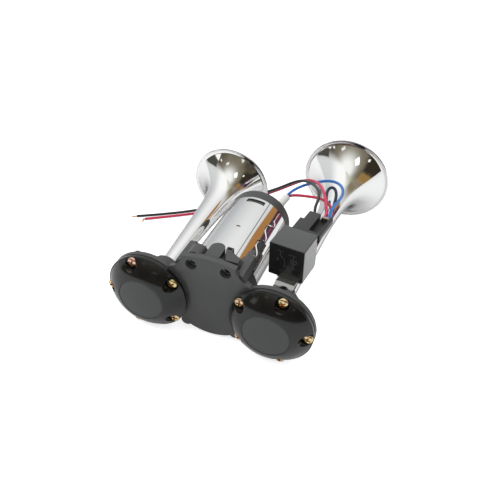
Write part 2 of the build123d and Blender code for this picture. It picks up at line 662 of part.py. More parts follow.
def end_cap():
    """Front cap: dished moulding with a spigot in the tube, a key in its slot and a bush seat."""
    cap = rod(TUBE_R, TUBE_END_Y, CAP_END_Y, 0, AXIS_Z)
    cap = fillet(cap.faces().sort_by(Axis.Y)[-1].edges(), CAP_EDGE_R)
    cap += rod(TUBE_BORE_R, TUBE_END_Y - SPIGOT_LENGTH, TUBE_END_Y, 0, AXIS_Z)
    cap -= rod(TUBE_BORE_R - CAP_WALL, TUBE_END_Y - SPIGOT_LENGTH, CAP_END_Y - CAP_WALL, 0, AXIS_Z)
    cap += rod(BUSH_R + 2.5, CAP_BUSH_Y, CAP_END_Y - CAP_WALL, 0, AXIS_Z)
    cap -= rod(BUSH_R, CAP_BUSH_Y, CAP_END_Y - CAP_WALL, 0, AXIS_Z)
    key = block(-SLOT_W / 2 + 0.3, SLOT_W / 2 - 0.3, SLOT_Y - SLOT_L / 2 + 0.3, SLOT_Y + SLOT_L / 2 - 0.3,
                TUBE_BORE_R - 1, TUBE_BORE_R + SLOT_KEY_T - 0.6)
    cap += COMPRESSOR * Rot(0, SLOT_ANGLE, 0) * key
    cap -= rod(SLEEVE_R, CAP_END_Y - CAP_WALL - 1, CAP_END_Y + 1, LEAD_EXIT_X, LEAD_EXIT_Z)
    return cap


def magnets():
    """Two ferrite arcs bonded inside the tube."""
    arc = ring(TUBE_BORE_R, TUBE_BORE_R - MAGNET_T, CORE_START_Y - 1, CORE_END_Y + 1)
    spare = (180 - MAGNET_SPAN) / 2
    for side in (-1, 1):
        wedge = make_face(Polyline((0, 0), (side * 60, 60 * math.tan(math.radians(spare))),
                                   (side * 60, -60 * math.tan(math.radians(spare))), close=True))
        arc -= slab(wedge, CORE_START_Y - 2, CORE_END_Y + 2)
    return [COMPRESSOR * solid for solid in arc.solids()]


def armature_core():
    """Lamination stack with open slots."""
    core = ring(CORE_R, SHAFT_R, CORE_START_Y, CORE_END_Y, 0, AXIS_Z)
    for index in range(TEETH):
        slot = block(-TOOTH_GAP_W / 2, TOOTH_GAP_W / 2, CORE_START_Y, CORE_END_Y, CORE_R - 3, CORE_R + 1)
        bed = block(-TOOTH_GAP_W, TOOTH_GAP_W, CORE_START_Y, CORE_END_Y, WINDING_IN_R, CORE_R - 2)
        core -= COMPRESSOR * Rot(0, 360 / TEETH * index, 0) * (slot + bed)
    return core


def armature_winding():
    """Copper winding: bars in the slots, joined by the end turns."""
    coil = ring(CORE_R - 2, WINDING_IN_R - 2, CORE_START_Y - END_TURN_L, CORE_START_Y, 0, AXIS_Z)
    coil += ring(CORE_R - 2, WINDING_IN_R - 2, CORE_END_Y, COMMUTATOR_Y, 0, AXIS_Z)
    for index in range(TEETH):
        bar = block(-TOOTH_GAP_W, TOOTH_GAP_W, CORE_START_Y, CORE_END_Y, WINDING_IN_R, CORE_R - 2)
        coil += COMPRESSOR * Rot(0, 360 / TEETH * index, 0) * bar
    return coil


def commutator():
    """Segmented commutator."""
    drum = ring(COMMUTATOR_R, SHAFT_R, COMMUTATOR_Y, COMMUTATOR_Y + COMMUTATOR_L, 0, AXIS_Z)
    for index in range(TEETH):
        groove = block(-0.25, 0.25, COMMUTATOR_Y, COMMUTATOR_Y + COMMUTATOR_L, COMMUTATOR_R - 0.8, COMMUTATOR_R + 1)
        drum -= COMPRESSOR * Rot(0, 360 / TEETH * (index + 0.5), 0) * groove
    return drum


def brush_card():
    """Board that carries the brushes, held inside the end cap's spigot."""
    middle = COMMUTATOR_Y + COMMUTATOR_L / 2
    half_t, half_w = BRUSH_T / 2, BRUSH_W / 2
    near = COMMUTATOR_R + BRUSH_L / 5
    card = ring(TUBE_BORE_R - CAP_WALL, near - BRUSH_GAP, middle + half_t + HOLDER_WALL,
                middle + half_t + HOLDER_WALL + CARD_T, 0, AXIS_Z)
    for side in (-1, 1):
        box = block(near, COMMUTATOR_R + BRUSH_L, middle - half_t - HOLDER_WALL, middle + half_t + HOLDER_WALL,
                    -half_w - HOLDER_WALL, half_w + HOLDER_WALL)
        box -= block(COMMUTATOR_R, COMMUTATOR_R + 2 * BRUSH_L, middle - half_t, middle + half_t, -half_w, half_w)
        card += COMPRESSOR * Rot(0, 90 - 90 * side, 0) * box
    return card


def brushes():
    """Two carbon brushes, their ends shaped to the commutator."""
    middle = COMMUTATOR_Y + COMMUTATOR_L / 2
    brush = block(COMMUTATOR_R * 0.8, COMMUTATOR_R + BRUSH_L * 0.9, middle - BRUSH_T / 2, middle + BRUSH_T / 2,
                  -BRUSH_W / 2, BRUSH_W / 2)
    brush -= rod(COMMUTATOR_R + BRUSH_GAP, middle - BRUSH_T, middle + BRUSH_T)
    return [COMPRESSOR * Rot(0, 90 - 90 * side, 0) * brush for side in (-1, 1)]


# ------------------------------------------------------------------ relay group
RELAY_AT = Pos(HORN_X, RELAY_SCREW_Y, 0) * Rot(0, 0, RELAY_YAW)
BLADES = [(x, z, upright) for (x, z), upright in zip(BLADE_PLACES, BLADE_UPRIGHT)]


def blade_box(x, z, upright, width, thickness, y0, y1):
    """A flat bar along the relay's own Y, upright or lying."""
    across, high = (thickness, width) if upright else (width, thickness)
    return block(x - across / 2, x + across / 2, y0, y1, z - high / 2, z + high / 2)


def relay_case():
    """Sealed relay cover, with two rails under it for the bracket."""
    left = RELAY_X - RELAY_W / 2
    case = block(left, left + RELAY_W, RELAY_START, RELAY_START + RELAY_L,
                 RELAY_BOTTOM_Z, RELAY_BOTTOM_Z + RELAY_H)
    case = fillet(case.edges().filter_by(Axis.Y), 0.8)
    case = fillet(case.faces().sort_by(Axis.Y)[0].edges(), 0.5)
    for side in (-1, 1):
        edge = TAB_X + side * TAB_W / 2
        outer = edge + side * 2.0
        inner = edge - side * 1.4
        rail = block(min(edge, outer), max(edge, outer), RELAY_START + 1.5, RELAY_START + RELAY_L - 1.5,
                     RELAY_BOTTOM_Z - TAB_T - 1.0, RELAY_BOTTOM_Z)
        lip = block(min(inner, outer), max(inner, outer), RELAY_START + 1.5, RELAY_START + RELAY_L - 1.5,
                    RELAY_BOTTOM_Z - TAB_T - 1.0, RELAY_BOTTOM_Z - TAB_T)
        case += rail + lip
    return RELAY_AT * case


def relay_base():
    """Base that closes the relay and carries its blades."""
    left = RELAY_X - RELAY_W / 2
    base = block(left + 0.5, left + RELAY_W - 0.5, RELAY_START + RELAY_L, RELAY_BACK,
                 RELAY_BOTTOM_Z + 0.5, RELAY_BOTTOM_Z + RELAY_H - 0.5)
    for x, z, upright in BLADES:
        base -= blade_box(x, z, upright, BLADE_W, BLADE_T, RELAY_START, RELAY_BACK)
    return RELAY_AT * base


def relay_blades():
    """Four flat contact blades."""
    return [RELAY_AT * blade_box(x, z, upright, BLADE_W, BLADE_T, RELAY_START + RELAY_L, RELAY_BACK + BLADE_L)
            for x, z, upright in BLADES]


def relay_socket():
    """Plug-on socket: stepped block, one closed cell for each terminal, an open wire channel."""
    left, right = SOCKET_X - SOCKET_W / 2, SOCKET_X + SOCKET_W / 2
    y0, y1 = RELAY_BACK, RELAY_BACK + SOCKET_L
    body = block(left, right, y0, y1, SOCKET_TOP_Z - SOCKET_H, SOCKET_TOP_Z)
    body = fillet(body.edges().filter_by(Axis.Y).sort_by(Axis.X)[-2:], 2.2)
    body -= block(left - 1, left + SOCKET_STEP_W, y0 + SOCKET_STEP_L, y1 + 1,
                  SOCKET_TOP_Z - SOCKET_H - 1, SOCKET_TOP_Z + 1)
    body -= block(CHANNEL_X - CHANNEL_W / 2, CHANNEL_X + CHANNEL_W / 2, y0 + 2.4, y1 + 1,
                  CHANNEL_FLOOR_Z, SOCKET_TOP_Z + 1)
    undercut = make_face(Polyline(
        (right + 1, SOCKET_TOP_Z - SOCKET_RAIL_H + 1.7), (SOCKET_FOOT_X, SOCKET_FOOT_Z),
        (SOCKET_FOOT_X, SOCKET_TOP_Z - SOCKET_H - 1), (right + 1, SOCKET_TOP_Z - SOCKET_H - 1), close=True))
    body -= slab(undercut, y0 - 1, y1 + 1)
    for x, z, upright in BLADES:
        body -= blade_box(x, z, upright, TERMINAL_W, TERMINAL_T, y0, y0 + TERMINAL_L)
        body -= rod(WIRE_D / 2 + WIRE_SLACK, y0, y1 + 1, x, z)
    body -= block(CHANNEL_X - CRIMP_W / 2 - 0.2, CHANNEL_X + CRIMP_W / 2 + 0.2, CRIMP_END - CRIMP_L - 0.3, y1 + 1,
                  CRIMP_MID_Z - CRIMP_H / 2 - 0.2, SOCKET_TOP_Z)
    return RELAY_AT * body


def socket_terminals():
    """Folded brass receptacles on the blades; the channel's one ends in a wide crimp."""
    y0 = RELAY_BACK
    pieces = []
    for index, (x, z, upright) in enumerate(BLADES):
        body = blade_box(x, z, upright, TERMINAL_W, TERMINAL_T, y0, y0 + TERMINAL_L)
        body -= blade_box(x, z, upright, BLADE_W, BLADE_T, y0, y0 + BLADE_L)
        if index == 0:
            crimp = block(CHANNEL_X - CRIMP_W / 2, CHANNEL_X + CRIMP_W / 2, CRIMP_END - CRIMP_L, CRIMP_END,
                          CRIMP_MID_Z - CRIMP_H / 2, CRIMP_MID_Z + CRIMP_H / 2)
            body += fillet(crimp.edges().filter_by(Axis.Y), 1.0)
            body += block(x - STRIP_W / 2, x + STRIP_W / 2, y0 + TERMINAL_L, CRIMP_END - CRIMP_L,
                          z - STRIP_T / 2, z + STRIP_T / 2)
        pieces.append(RELAY_AT * body)
    return pieces


def relay_bracket():
    """Plated strip with a joggle, from the screw on the neck to the relay's rails."""
    low, high = TAB_TOP_Z - TAB_T, TAB_TOP_Z
    rise = TAB_DROP
    y1, y2 = TAB_BEND, TAB_BEND + TAB_BEND_L
    side_view = Polyline((-TAB_TAIL, low), (y1, low), (y2, low + rise), (TAB_REACH, low + rise),
                         (TAB_REACH, high + rise), (y2 - 0.4, high + rise), (y1 - 0.4, high),
                         (-TAB_TAIL, high), close=True)
    strip = extrude(Plane.YZ * make_face(side_view), amount=TAB_W / 2, both=True)
    strip = Pos(TAB_X, 0, 0) * strip
    corners = strip.edges().filter_by(Axis.Z).sort_by(Axis.Y)[:2]
    strip = fillet(corners, 2.5)
    strip -= Cylinder(SCREW_R, 60)
    return RELAY_AT * strip


def bracket_screw():
    """Black pan-head screw through the bracket into the neck's pad."""
    head = Cylinder(TAB_SCREW_HEAD_R, TAB_SCREW_HEAD_H, align=(Align.CENTER, Align.CENTER, Align.MIN))
    head = fillet(head.faces().sort_by(Axis.Z)[-1].edges(), 1.2)
    arm = Pos(0, 0, TAB_SCREW_HEAD_H) * Box(RECESS_SPAN, RECESS_W, 2 * RECESS_DEPTH)
    head -= arm + Rot(0, 0, 90) * arm
    shank = Pos(0, 0, -TAB_T - 3.8) * Cylinder(
        SCREW_R, TAB_T + 3.8, align=(Align.CENTER, Align.CENTER, Align.MIN))
    return Pos(HORN_X, RELAY_SCREW_Y, TAB_TOP_Z) * (head + shank)


# ------------------------------------------------------------------ leads
def from_relay(x, y, z):
    """A point of the relay's plan in the working frame."""
    point = RELAY_AT * Pos(x, y, z)
    return (point.position.X, point.position.Y, point.position.Z)


def crimp_exit(column, row, ahead=0.0):
    """Where a wire leaves the wide crimp (two columns, three rows), or straight ahead of it."""
    return from_relay(CHANNEL_X + column * CRIMP_COLUMN / 2, CRIMP_END + ahead, CRIMP_MID_Z + row * CRIMP_ROW)


def cell_exit(index, y):
    """A point of the wire behind one of the socket's terminals."""
    return from_relay(BLADES[index][0], y, BLADES[index][1])


SLEEVE_BEND = Vector(LEAD_EXIT_X, SLEEVE_BEND_Y, LEAD_EXIT_Z)
SLEEVE_AHEAD = (Vector(*SLEEVE_TIP) - SLEEVE_BEND).normalized()
SLEEVE_UP = SLEEVE_AHEAD.cross(Vector(0, 0, 1)).normalized().cross(SLEEVE_AHEAD)


def sleeve_exit(side, ahead):
    """A point on one of the two leads near the sleeve's mouth: side is +1 above, -1 below."""
    point = Vector(*SLEEVE_TIP) + SLEEVE_UP * (side * LEAD_SPACING / 2) + SLEEVE_AHEAD * ahead
    return tuple(point)


ROUTES = {
    "black_lead": [
        cell_exit(3, RELAY_BACK + TERMINAL_L), cell_exit(3, RELAY_BACK + SOCKET_L + 2.5),
        (45.4, 95.6, 36.2), (45.1, 104.6, 36.4), (43.1, 114.1, 35.5), (37.4, 127.3, 32.5),
        (29.1, 139.2, 28.0), (20.2, 147.5, 23.0), (11.7, 151.1, 17.0), (3.3, 152.3, 10.5),
        (-6.5, 154.2, 3.0), (-17.6, 159.0, -5.5), (-30.3, 164.3, -15.0), (-43.6, 168.7, -24.5),
        (-57.2, 171.2, -33.2), (-68.0, 161.0, -34.9), (-78.6, 150.9, -34.6), (-90.0, 142.0, -34.3),
        (-101.3, 134.2, -34.0), (-112.6, 126.7, -33.7), (-123.6, 120.0, -33.4),
    ],
    "red_lead": [
        crimp_exit(-1, 1), crimp_exit(-1, 1, 4.5),
        (53.9, 94.0, 37.6), (51.1, 103.0, 38.0), (47.0, 113.9, 37.2), (41.0, 126.4, 35.0),
        (33.0, 138.2, 30.6), (23.1, 150.1, 22.8), (13.5, 155.3, 14.8), (5.3, 157.1, 8.2),
        (-3.3, 158.6, 1.4), (-13.4, 161.9, -6.6), (-24.9, 165.6, -15.9), (-37.6, 168.8, -25.4),
        (-50.6, 170.0, -33.6), (-61.0, 159.6, -34.9), (-71.4, 150.5, -34.6), (-81.9, 142.1, -34.3),
        (-93.0, 133.9, -34.0), (-104.2, 126.2, -33.7), (-114.9, 118.8, -33.4),
    ],
    "blue_lead": [
        sleeve_exit(1, -LEAD_TUCK), sleeve_exit(1, 2.5),
        (17.3, 134.0, 20.8), (20.5, 140.5, 20.8), (24.9, 148.3, 20.0), (30.2, 155.3, 19.0),
        (36.5, 158.4, 20.0), (43.5, 157.3, 22.0), (50.3, 151.0, 24.6), (55.8, 140.2, 27.4),
        (58.6, 126.7, 30.4), (58.7, 113.2, 33.6), (57.9, 101.8, 36.2), (57.7, 94.0, 36.8),
        crimp_exit(1, 1, 4.0), crimp_exit(1, 1),
    ],
    "red_motor_lead": [
        sleeve_exit(-1, -LEAD_TUCK), sleeve_exit(-1, 1.6),
        (17.2, 129.1, 18.6), (21.8, 130.8, 18.9), (28.1, 129.7, 20.4), (35.3, 127.1, 22.8),
        (42.4, 122.7, 25.8), (48.8, 116.0, 28.8), (53.9, 107.9, 31.2), (57.5, 97.9, 33.4),
        crimp_exit(1, 0, 4.5), crimp_exit(1, 0),
    ],
    "blue_jumper": [
        crimp_exit(-1, 0), crimp_exit(-1, 0, 4.5),
        (53.8, 96.9, 34.0), (51.1, 104.8, 34.6), (49.3, 112.2, 35.3), (48.0, 118.0, 35.8),
        (48.3, 122.0, 36.8), (50.0, 123.6, 37.4), (52.1, 123.7, 37.1), (54.1, 121.5, 36.2),
        (55.5, 117.7, 34.9), (55.9, 114.2, 32.8), (56.1, 109.7, 30.4), (57.2, 102.6, 30.0),
        (58.6, 94.4, 31.0), crimp_exit(1, -1, 4.0), crimp_exit(1, -1),
    ],
}


def cord_radii(points):
    """Bend radius at each corner: as large as its two runs allow."""
    radii = []
    for before, corner, after in zip(points, points[1:], points[2:]):
        into, out = Vector(*corner) - Vector(*before), Vector(*after) - Vector(*corner)
        turn = math.radians(into.get_angle(out))
        radii.append(0.45 * min(into.length, out.length) / math.tan(turn / 2))
    return radii


def cord(name, points, diameter):
    """A free wire: a round tube along straight runs joined by tangent arcs."""
    radii = cord_radii(points)
    path = FilletPolyline(*points, radius=radii)
    start = Plane(origin=path @ 0, z_dir=path % 0)
    tube = sweep(start * Circle(diameter / 2), path=path)
    section = math.pi * (diameter / 2) ** 2
    print(f"{name}: length {path.length:.1f}, least radius {min(radii):.1f}, "
          f"volume/section*length {tube.volume / (section * path.length):.4f}")
    return tube


def bare_end(points, length, bend=None):
    """Stripped strands past a lead's end, straight or turned down."""
    end, before = Vector(*points[-1]), Vector(*points[-2])
    ahead = (end - before).normalized()
    strands = extrude(Plane(origin=end, z_dir=ahead) * Circle(STRAND_D / 2), amount=length)
    if bend:
        tip = end + ahead * (length - STRAND_D / 2)
        strands += extrude(Plane(origin=tip, z_dir=Vector(*bend).normalized()) * Circle(STRAND_D / 2), amount=4.5)
    return strands


def lead_sleeve():
    """Pale insulating tube over the motor's two leads, bent up a little past the cap."""
    start = Vector(LEAD_EXIT_X, CAP_END_Y - CAP_WALL, LEAD_EXIT_Z)
    points = [tuple(start), tuple(SLEEVE_BEND), SLEEVE_TIP]
    path = FilletPolyline(*points, radius=cord_radii(points))
    section = Circle(SLEEVE_R) - Circle(SLEEVE_BORE_R)
    return sweep(Plane(origin=path @ 0, z_dir=path % 0) * section, path=path)


# ------------------------------------------------------------------ build
def build():
    """Every node by name; a list is a group of separate solids."""
    gasket_y = COVER_SEAT_Y + COVER_FLANGE_T
    diaphragm_y = gasket_y + GASKET_T
    nodes = {
        "horn_body": horn_body(),
        "trumpet_right": trumpet(1, LONG_RIM_Y, LONG_BELL_R, LONG_TAPER, LONG_FLARE),
        "trumpet_left": trumpet(-1, SHORT_RIM_Y, SHORT_BELL_R, SHORT_TAPER, SHORT_FLARE),
        "pump_housing": pump_housing(),
        "fixing_inserts": fixing_inserts(),
        "housing_screws": housing_screws(),
        "pump_liner": pump_liner(),
        "wear_plates": wear_plates(),
        "pump_rotor": pump_rotor(),
        "pump_vanes": pump_vanes(),
        "motor_shaft": motor_shaft(),
        "rear_bush": bearing_bush(CAVITY_END_Y, HUB_END_Y, BUSH_R),
        "front_bush": bearing_bush(CAP_BUSH_Y, CAP_END_Y - CAP_WALL, BUSH_R),
        "motor_tube": motor_tube(),
        "end_cap": end_cap(),
        "magnets": magnets(),
        "armature_core": armature_core(),
        "armature_winding": armature_winding(),
        "commutator": commutator(),
        "brush_card": brush_card(),
        "brushes": brushes(),
        "relay_case": relay_case(),
        "relay_base": relay_base(),
        "relay_blades": relay_blades(),
        "relay_socket": relay_socket(),
        "socket_terminals": socket_terminals(),
        "relay_bracket": relay_bracket(),
        "bracket_screw": bracket_screw(),
        "lead_sleeve": lead_sleeve(),
    }
    for side, name in ((-1, "left"), (1, "right")):
        nodes["cover_" + name] = cover(side)
        nodes["gasket_" + name] = head_ring(side, HEAD_R - 0.3, GASKET_BORE_R, gasket_y, GASKET_T)
        nodes["diaphragm_" + name] = head_ring(side, HEAD_R - 0.6, 0, diaphragm_y, DIAPHRAGM_T)
        nodes["cover_screws_" + name] = cover_screws(side)
    for name, points in ROUTES.items():
        nodes[name] = cord(name, points, WIRE_D)
    nodes["lead_ends"] = [
        bare_end(ROUTES["black_lead"], 4.5),
        bare_end(ROUTES["red_lead"], 2.0, bend=(0.35, -0.9, 0.1)),
    ]
    return nodes


for name, shape in build().items():
    solids = shape if isinstance(shape, list) else [shape]
    moved = [PLACE * solid for solid in solids]
    export_step(moved[0] if len(moved) == 1 else Compound(children=moved), f"parts/{name}.step")
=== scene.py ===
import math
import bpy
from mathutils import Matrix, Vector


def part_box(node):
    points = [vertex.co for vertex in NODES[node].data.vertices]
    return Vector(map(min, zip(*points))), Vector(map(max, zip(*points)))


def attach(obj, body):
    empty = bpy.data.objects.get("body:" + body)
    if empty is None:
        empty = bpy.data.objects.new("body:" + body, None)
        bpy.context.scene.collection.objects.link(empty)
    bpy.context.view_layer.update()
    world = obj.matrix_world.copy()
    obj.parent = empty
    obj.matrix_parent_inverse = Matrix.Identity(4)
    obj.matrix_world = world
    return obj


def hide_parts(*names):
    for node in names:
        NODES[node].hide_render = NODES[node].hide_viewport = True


bl_info = {
    "name": "Twin Trumpet Air Horn",
    "version": (1, 0, 0),
    "blender": (4, 5, 0),
    "location": "3D View > Sidebar > Air Horn",
    "description": "Dresses the packed air horn: plated trumpets, sound heads, compressor, relay and leads",
    "category": "Object",
}

import bmesh
import bpy
from bpy.props import FloatProperty, FloatVectorProperty, IntProperty, PointerProperty
from mathutils import Matrix, Vector

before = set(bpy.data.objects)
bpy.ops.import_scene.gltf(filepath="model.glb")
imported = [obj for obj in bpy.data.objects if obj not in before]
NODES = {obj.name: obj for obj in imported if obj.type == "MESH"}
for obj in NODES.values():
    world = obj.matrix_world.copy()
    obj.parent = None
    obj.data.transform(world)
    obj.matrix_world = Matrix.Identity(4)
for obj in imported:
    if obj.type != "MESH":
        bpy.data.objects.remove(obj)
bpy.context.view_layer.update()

# ---------------------------------------------------------------- places taken from the frame


def box_of(node):
    """Low and high corner of a node's box."""
    return tuple(Vector(corner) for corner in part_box(node))


def middle(node):
    """Middle of a node's box."""
    low, high = box_of(node)
    return (low + high) / 2


RIGHT_AXIS = middle("trumpet_right")
LEFT_AXIS = middle("trumpet_left")
MOTOR_AXIS = middle("motor_shaft")

SEAT_Y = 0.0015  # the cover screws' seats, from the plane START_Y
COVER_RISE = 0.00925  # from those seats to the face of a cover's disc
START_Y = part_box("cover_right")[0][1] + COVER_RISE - SEAT_Y  # places along the horn count from this plane
NECK_END = START_Y + 0.0310  # front end of the sound heads' necks

SCREWS = 5  # in each cover
SCREW_CIRCLE_R = 0.026

# the free leads' routes, each from its exit to its end
ROUTES = {
    "black_lead": (
        (0.0441, -0.0239, 0.0724), (0.0457, -0.0104, 0.0724), (0.0435, -0.0015, 0.0740),
        (0.0432, 0.0075, 0.0742), (0.0412, 0.0170, 0.0733), (0.0355, 0.0302, 0.0703),
        (0.0272, 0.0421, 0.0658), (0.0183, 0.0504, 0.0608), (0.0098, 0.0540, 0.0548),
        (0.0014, 0.0552, 0.0483), (-0.0084, 0.0571, 0.0408), (-0.0195, 0.0619, 0.0323),
        (-0.0322, 0.0672, 0.0228), (-0.0455, 0.0716, 0.0133), (-0.0591, 0.0741, 0.0046),
        (-0.0699, 0.0639, 0.0029), (-0.0805, 0.0538, 0.0032), (-0.0919, 0.0449, 0.0035),
        (-0.1032, 0.0371, 0.0038), (-0.1145, 0.0296, 0.0041), (-0.1255, 0.0229, 0.0044),
    ),
    "red_lead": (
        (0.0537, -0.0134, 0.0743), (0.0542, -0.0089, 0.0743), (0.0520, -0.0031, 0.0754),
        (0.0492, 0.0059, 0.0758), (0.0451, 0.0168, 0.0750), (0.0391, 0.0293, 0.0728),
        (0.0311, 0.0411, 0.0684), (0.0212, 0.0530, 0.0606), (0.0116, 0.0582, 0.0526),
        (0.0034, 0.0600, 0.0460), (-0.0052, 0.0615, 0.0392), (-0.0153, 0.0648, 0.0312),
        (-0.0268, 0.0685, 0.0219), (-0.0395, 0.0717, 0.0124), (-0.0525, 0.0729, 0.0042),
        (-0.0629, 0.0625, 0.0029), (-0.0733, 0.0534, 0.0032), (-0.0838, 0.0450, 0.0035),
        (-0.0949, 0.0368, 0.0038), (-0.1061, 0.0291, 0.0041), (-0.1168, 0.0217, 0.0044),
    ),
    "blue_lead": (
        (0.0115, 0.0239, 0.0568), (0.0134, 0.0298, 0.0588), (0.0154, 0.0369, 0.0586),
        (0.0186, 0.0434, 0.0586), (0.0230, 0.0512, 0.0578), (0.0283, 0.0582, 0.0568),
        (0.0346, 0.0613, 0.0578), (0.0416, 0.0602, 0.0598), (0.0484, 0.0539, 0.0624),
        (0.0539, 0.0431, 0.0652), (0.0567, 0.0296, 0.0682), (0.0568, 0.0161, 0.0714),
        (0.0560, 0.0047, 0.0740), (0.0558, -0.0031, 0.0746), (0.0566, -0.0097, 0.0743),
        (0.0561, -0.0137, 0.0743),
    ),
    "red_motor_lead": (
        (0.0118, 0.0247, 0.0545), (0.0134, 0.0297, 0.0562), (0.0153, 0.0320, 0.0564),
        (0.0199, 0.0337, 0.0567), (0.0262, 0.0326, 0.0582), (0.0334, 0.0300, 0.0606),
        (0.0405, 0.0256, 0.0636), (0.0469, 0.0189, 0.0666), (0.0520, 0.0108, 0.0690),
        (0.0556, 0.0008, 0.0712), (0.0567, -0.0092, 0.0719), (0.0561, -0.0137, 0.0719),
    ),
    "blue_jumper": (
        (0.0537, -0.0134, 0.0719), (0.0542, -0.0089, 0.0719), (0.0519, -0.0002, 0.0718),
        (0.0492, 0.0077, 0.0724), (0.0474, 0.0151, 0.0731), (0.0461, 0.0209, 0.0736),
        (0.0464, 0.0249, 0.0746), (0.0481, 0.0265, 0.0752), (0.0502, 0.0266, 0.0749),
        (0.0522, 0.0244, 0.0740), (0.0536, 0.0206, 0.0727), (0.0540, 0.0171, 0.0706),
        (0.0542, 0.0126, 0.0682), (0.0553, 0.0055, 0.0678), (0.0567, -0.0027, 0.0688),
        (0.0566, -0.0097, 0.0694), (0.0561, -0.0137, 0.0694),
    ),
}

# lead: (real length in metres, where it ends, finish, slot)
LEADS = {
    "black_lead": (0.266, "bare", "Black Jacket", "black_wire"),
    "red_lead": (0.255, "bare", "Red Jacket", "red_wire"),
    "blue_lead": (0.133, "object", "Blue Jacket", "blue_wire"),
    "red_motor_lead": (0.082, "object", "Red Jacket", "red_wire"),
    # the short loop's jacket is blue insulation darkened to a painted shade
    "blue_jumper": (0.087, "object", "Navy Jacket", "blue_wire"),
}
WIRE_D = 0.0023

# the camera's place, the ways to its right and forward, and its lens in millimetres
EYE = Vector((0.1325, -0.372275, 0.3297))
EYE_RIGHT = Vector((0.9318, 0.3626, 0.0150)).normalized()
EYE_FORWARD = Vector((-0.2765, 0.7362, -0.6177)).normalized()
EYE_LENS = 44.88


# ---------------------------------------------------------------- settings


def length(name, description, default, precision=4):
    """A length that a user may change."""
    return FloatProperty(name=name, description=description, default=default, unit="LENGTH",
                         precision=precision)


def colour(name, description, default):
    """A colour that a user may change."""
    return FloatVectorProperty(name=name, description=description, default=default, subtype="COLOR",
                               size=3, min=0, max=1)


class HornSizes(bpy.types.PropertyGroup):
    """Sizes of the dressed pieces that a user may change."""

    turn_steps: IntProperty(
        name="Turning Steps", description="Facets round a turned piece", default=224, min=24)
    trumpet_wall: length("Trumpet Wall", "Thickness of a trumpet's wall", 0.0012)
    throat: length("Throat", "Outer radius of a trumpet inside its neck", 0.0056)
    bead: length("Bell Bead", "Radius of the rolled edge of a bell", 0.0010)
    long_flare: length("Long Flare", "Length over which the long bell opens", 0.0203)
    long_taper: FloatProperty(
        name="Long Taper", description="Growth of the long tube's radius along it", default=0.016)
    short_flare: length("Short Flare", "Length over which the short bell opens", 0.0124)
    short_taper: FloatProperty(
        name="Short Taper", description="Growth of the short tube's radius along it", default=0.052)
    short_ease: FloatProperty(
        name="Short Ease", description="How far the short bell's lip straightens; 1 is a plain flare",
        default=1.15, min=1.0, max=1.4)
    tube_wall: length("Tube Wall", "Thickness of the motor tube", 0.0015)
    seam_width: length("Seam Width", "Gap of the jigsaw seam at the surface", 0.0014)
    edge_round: length("Edge Rounding", "Rounding of the moulded pieces' edges", 0.00025, 5)


class HornColours(bpy.types.PropertyGroup):
    """Colours of the dressed pieces."""

    moulding: colour("Moulding", "Black moulded body, housing and cap", (0.050, 0.051, 0.050))
    cover: colour("Cover", "Glossy black cone of the head covers", (0.008, 0.008, 0.0075))
    cover_disc: colour("Cover Disc", "Satin disc in the middle of a head cover", (0.046, 0.048, 0.048))
    relay: colour("Relay", "Black relay and socket", (0.014, 0.0145, 0.014))
    relay_print: colour("Relay Print", "Grey print on the relay's end", (0.075, 0.075, 0.072))
    plating: colour("Plating", "Bright plating of trumpets and tube", (0.90, 0.90, 0.89))
    yellow_zinc: colour("Yellow Zinc", "Passivated cover screws", (0.80, 0.66, 0.34))
    zinc: colour("Zinc", "Plain zinc of bracket, nuts and long screws", (0.80, 0.84, 0.84))
    red_jacket: colour("Red Jacket", "Insulation of the red leads", (0.60, 0.028, 0.085))
    blue_jacket: colour("Blue Jacket", "Insulation of the blue leads", (0.020, 0.15, 0.50))
    black_jacket: colour("Black Jacket", "Insulation of the black lead", (0.02, 0.02, 0.021))
    # painted shade: the short loop is blue insulation darkened to stand for its shadow
    navy_jacket: colour("Navy Jacket", "Insulation of the short dark blue loop", (0.012, 0.022, 0.062))


# ---------------------------------------------------------------- nodes


def feed(tree, socket, value):
    """Sets an input socket, or links it where the value is another node's output."""
    if isinstance(value, bpy.types.NodeSocket):
        tree.links.new(value, socket)
    elif socket.type == "RGBA" and len(value) == 3:
        socket.default_value = (*value, 1)
    else:
        socket.default_value = value


def feed_all(tree, node, inputs):
    """Sets or links a node's inputs, given by name or number."""
    for key, value in inputs.items():
        feed(tree, node.inputs[key], value)


def add_node(tree, kind, x, y, inputs=None, **settings):
    """Adds a node with its own settings and its inputs."""
    node = tree.nodes.new(kind)
    node.location = (x, y)
    for key, value in settings.items():
        setattr(node, key, value)
    feed_all(tree, node, inputs or {})
    return node


def number(tree, kind, x, y, *values, **settings):
    """Result of a Math node on one or more values."""
    inputs = dict(enumerate(values))
    return add_node(tree, "ShaderNodeMath", x, y, inputs, operation=kind, **settings).outputs[0]


def ramp(tree, value, low, high, x, y, lowest=0.0):
    """Rises smoothly to 1 while the value goes from low to high."""
    inputs = {"Value": value, "From Min": low, "From Max": high, "To Min": lowest}
    node = add_node(tree, "ShaderNodeMapRange", x, y, inputs, interpolation_type="SMOOTHSTEP")
    return node.outputs["Result"]


def blend(tree, factor, first, second, x, y):
    """Goes from the first colour to the second with the factor."""
    inputs = {"Factor": factor, "A": first, "B": second}
    return add_node(tree, "ShaderNodeMix", x, y, inputs, data_type="RGBA").outputs["Result"]


def noise(tree, place, scale, detail, x, y):
    """Soft noise at a place."""
    inputs = {"Vector": place, "Scale": scale, "Detail": detail}
    return add_node(tree, "ShaderNodeTexNoise", x, y, inputs).outputs["Fac"]


def mix_shaders(tree, factor, first, second, x, y):
    """One shader where the factor is 0, the other where it is 1."""
    return add_node(tree, "ShaderNodeMixShader", x, y, {0: factor, 1: first, 2: second}).outputs[0]


# ---------------------------------------------------------------- effects shared by the finishes


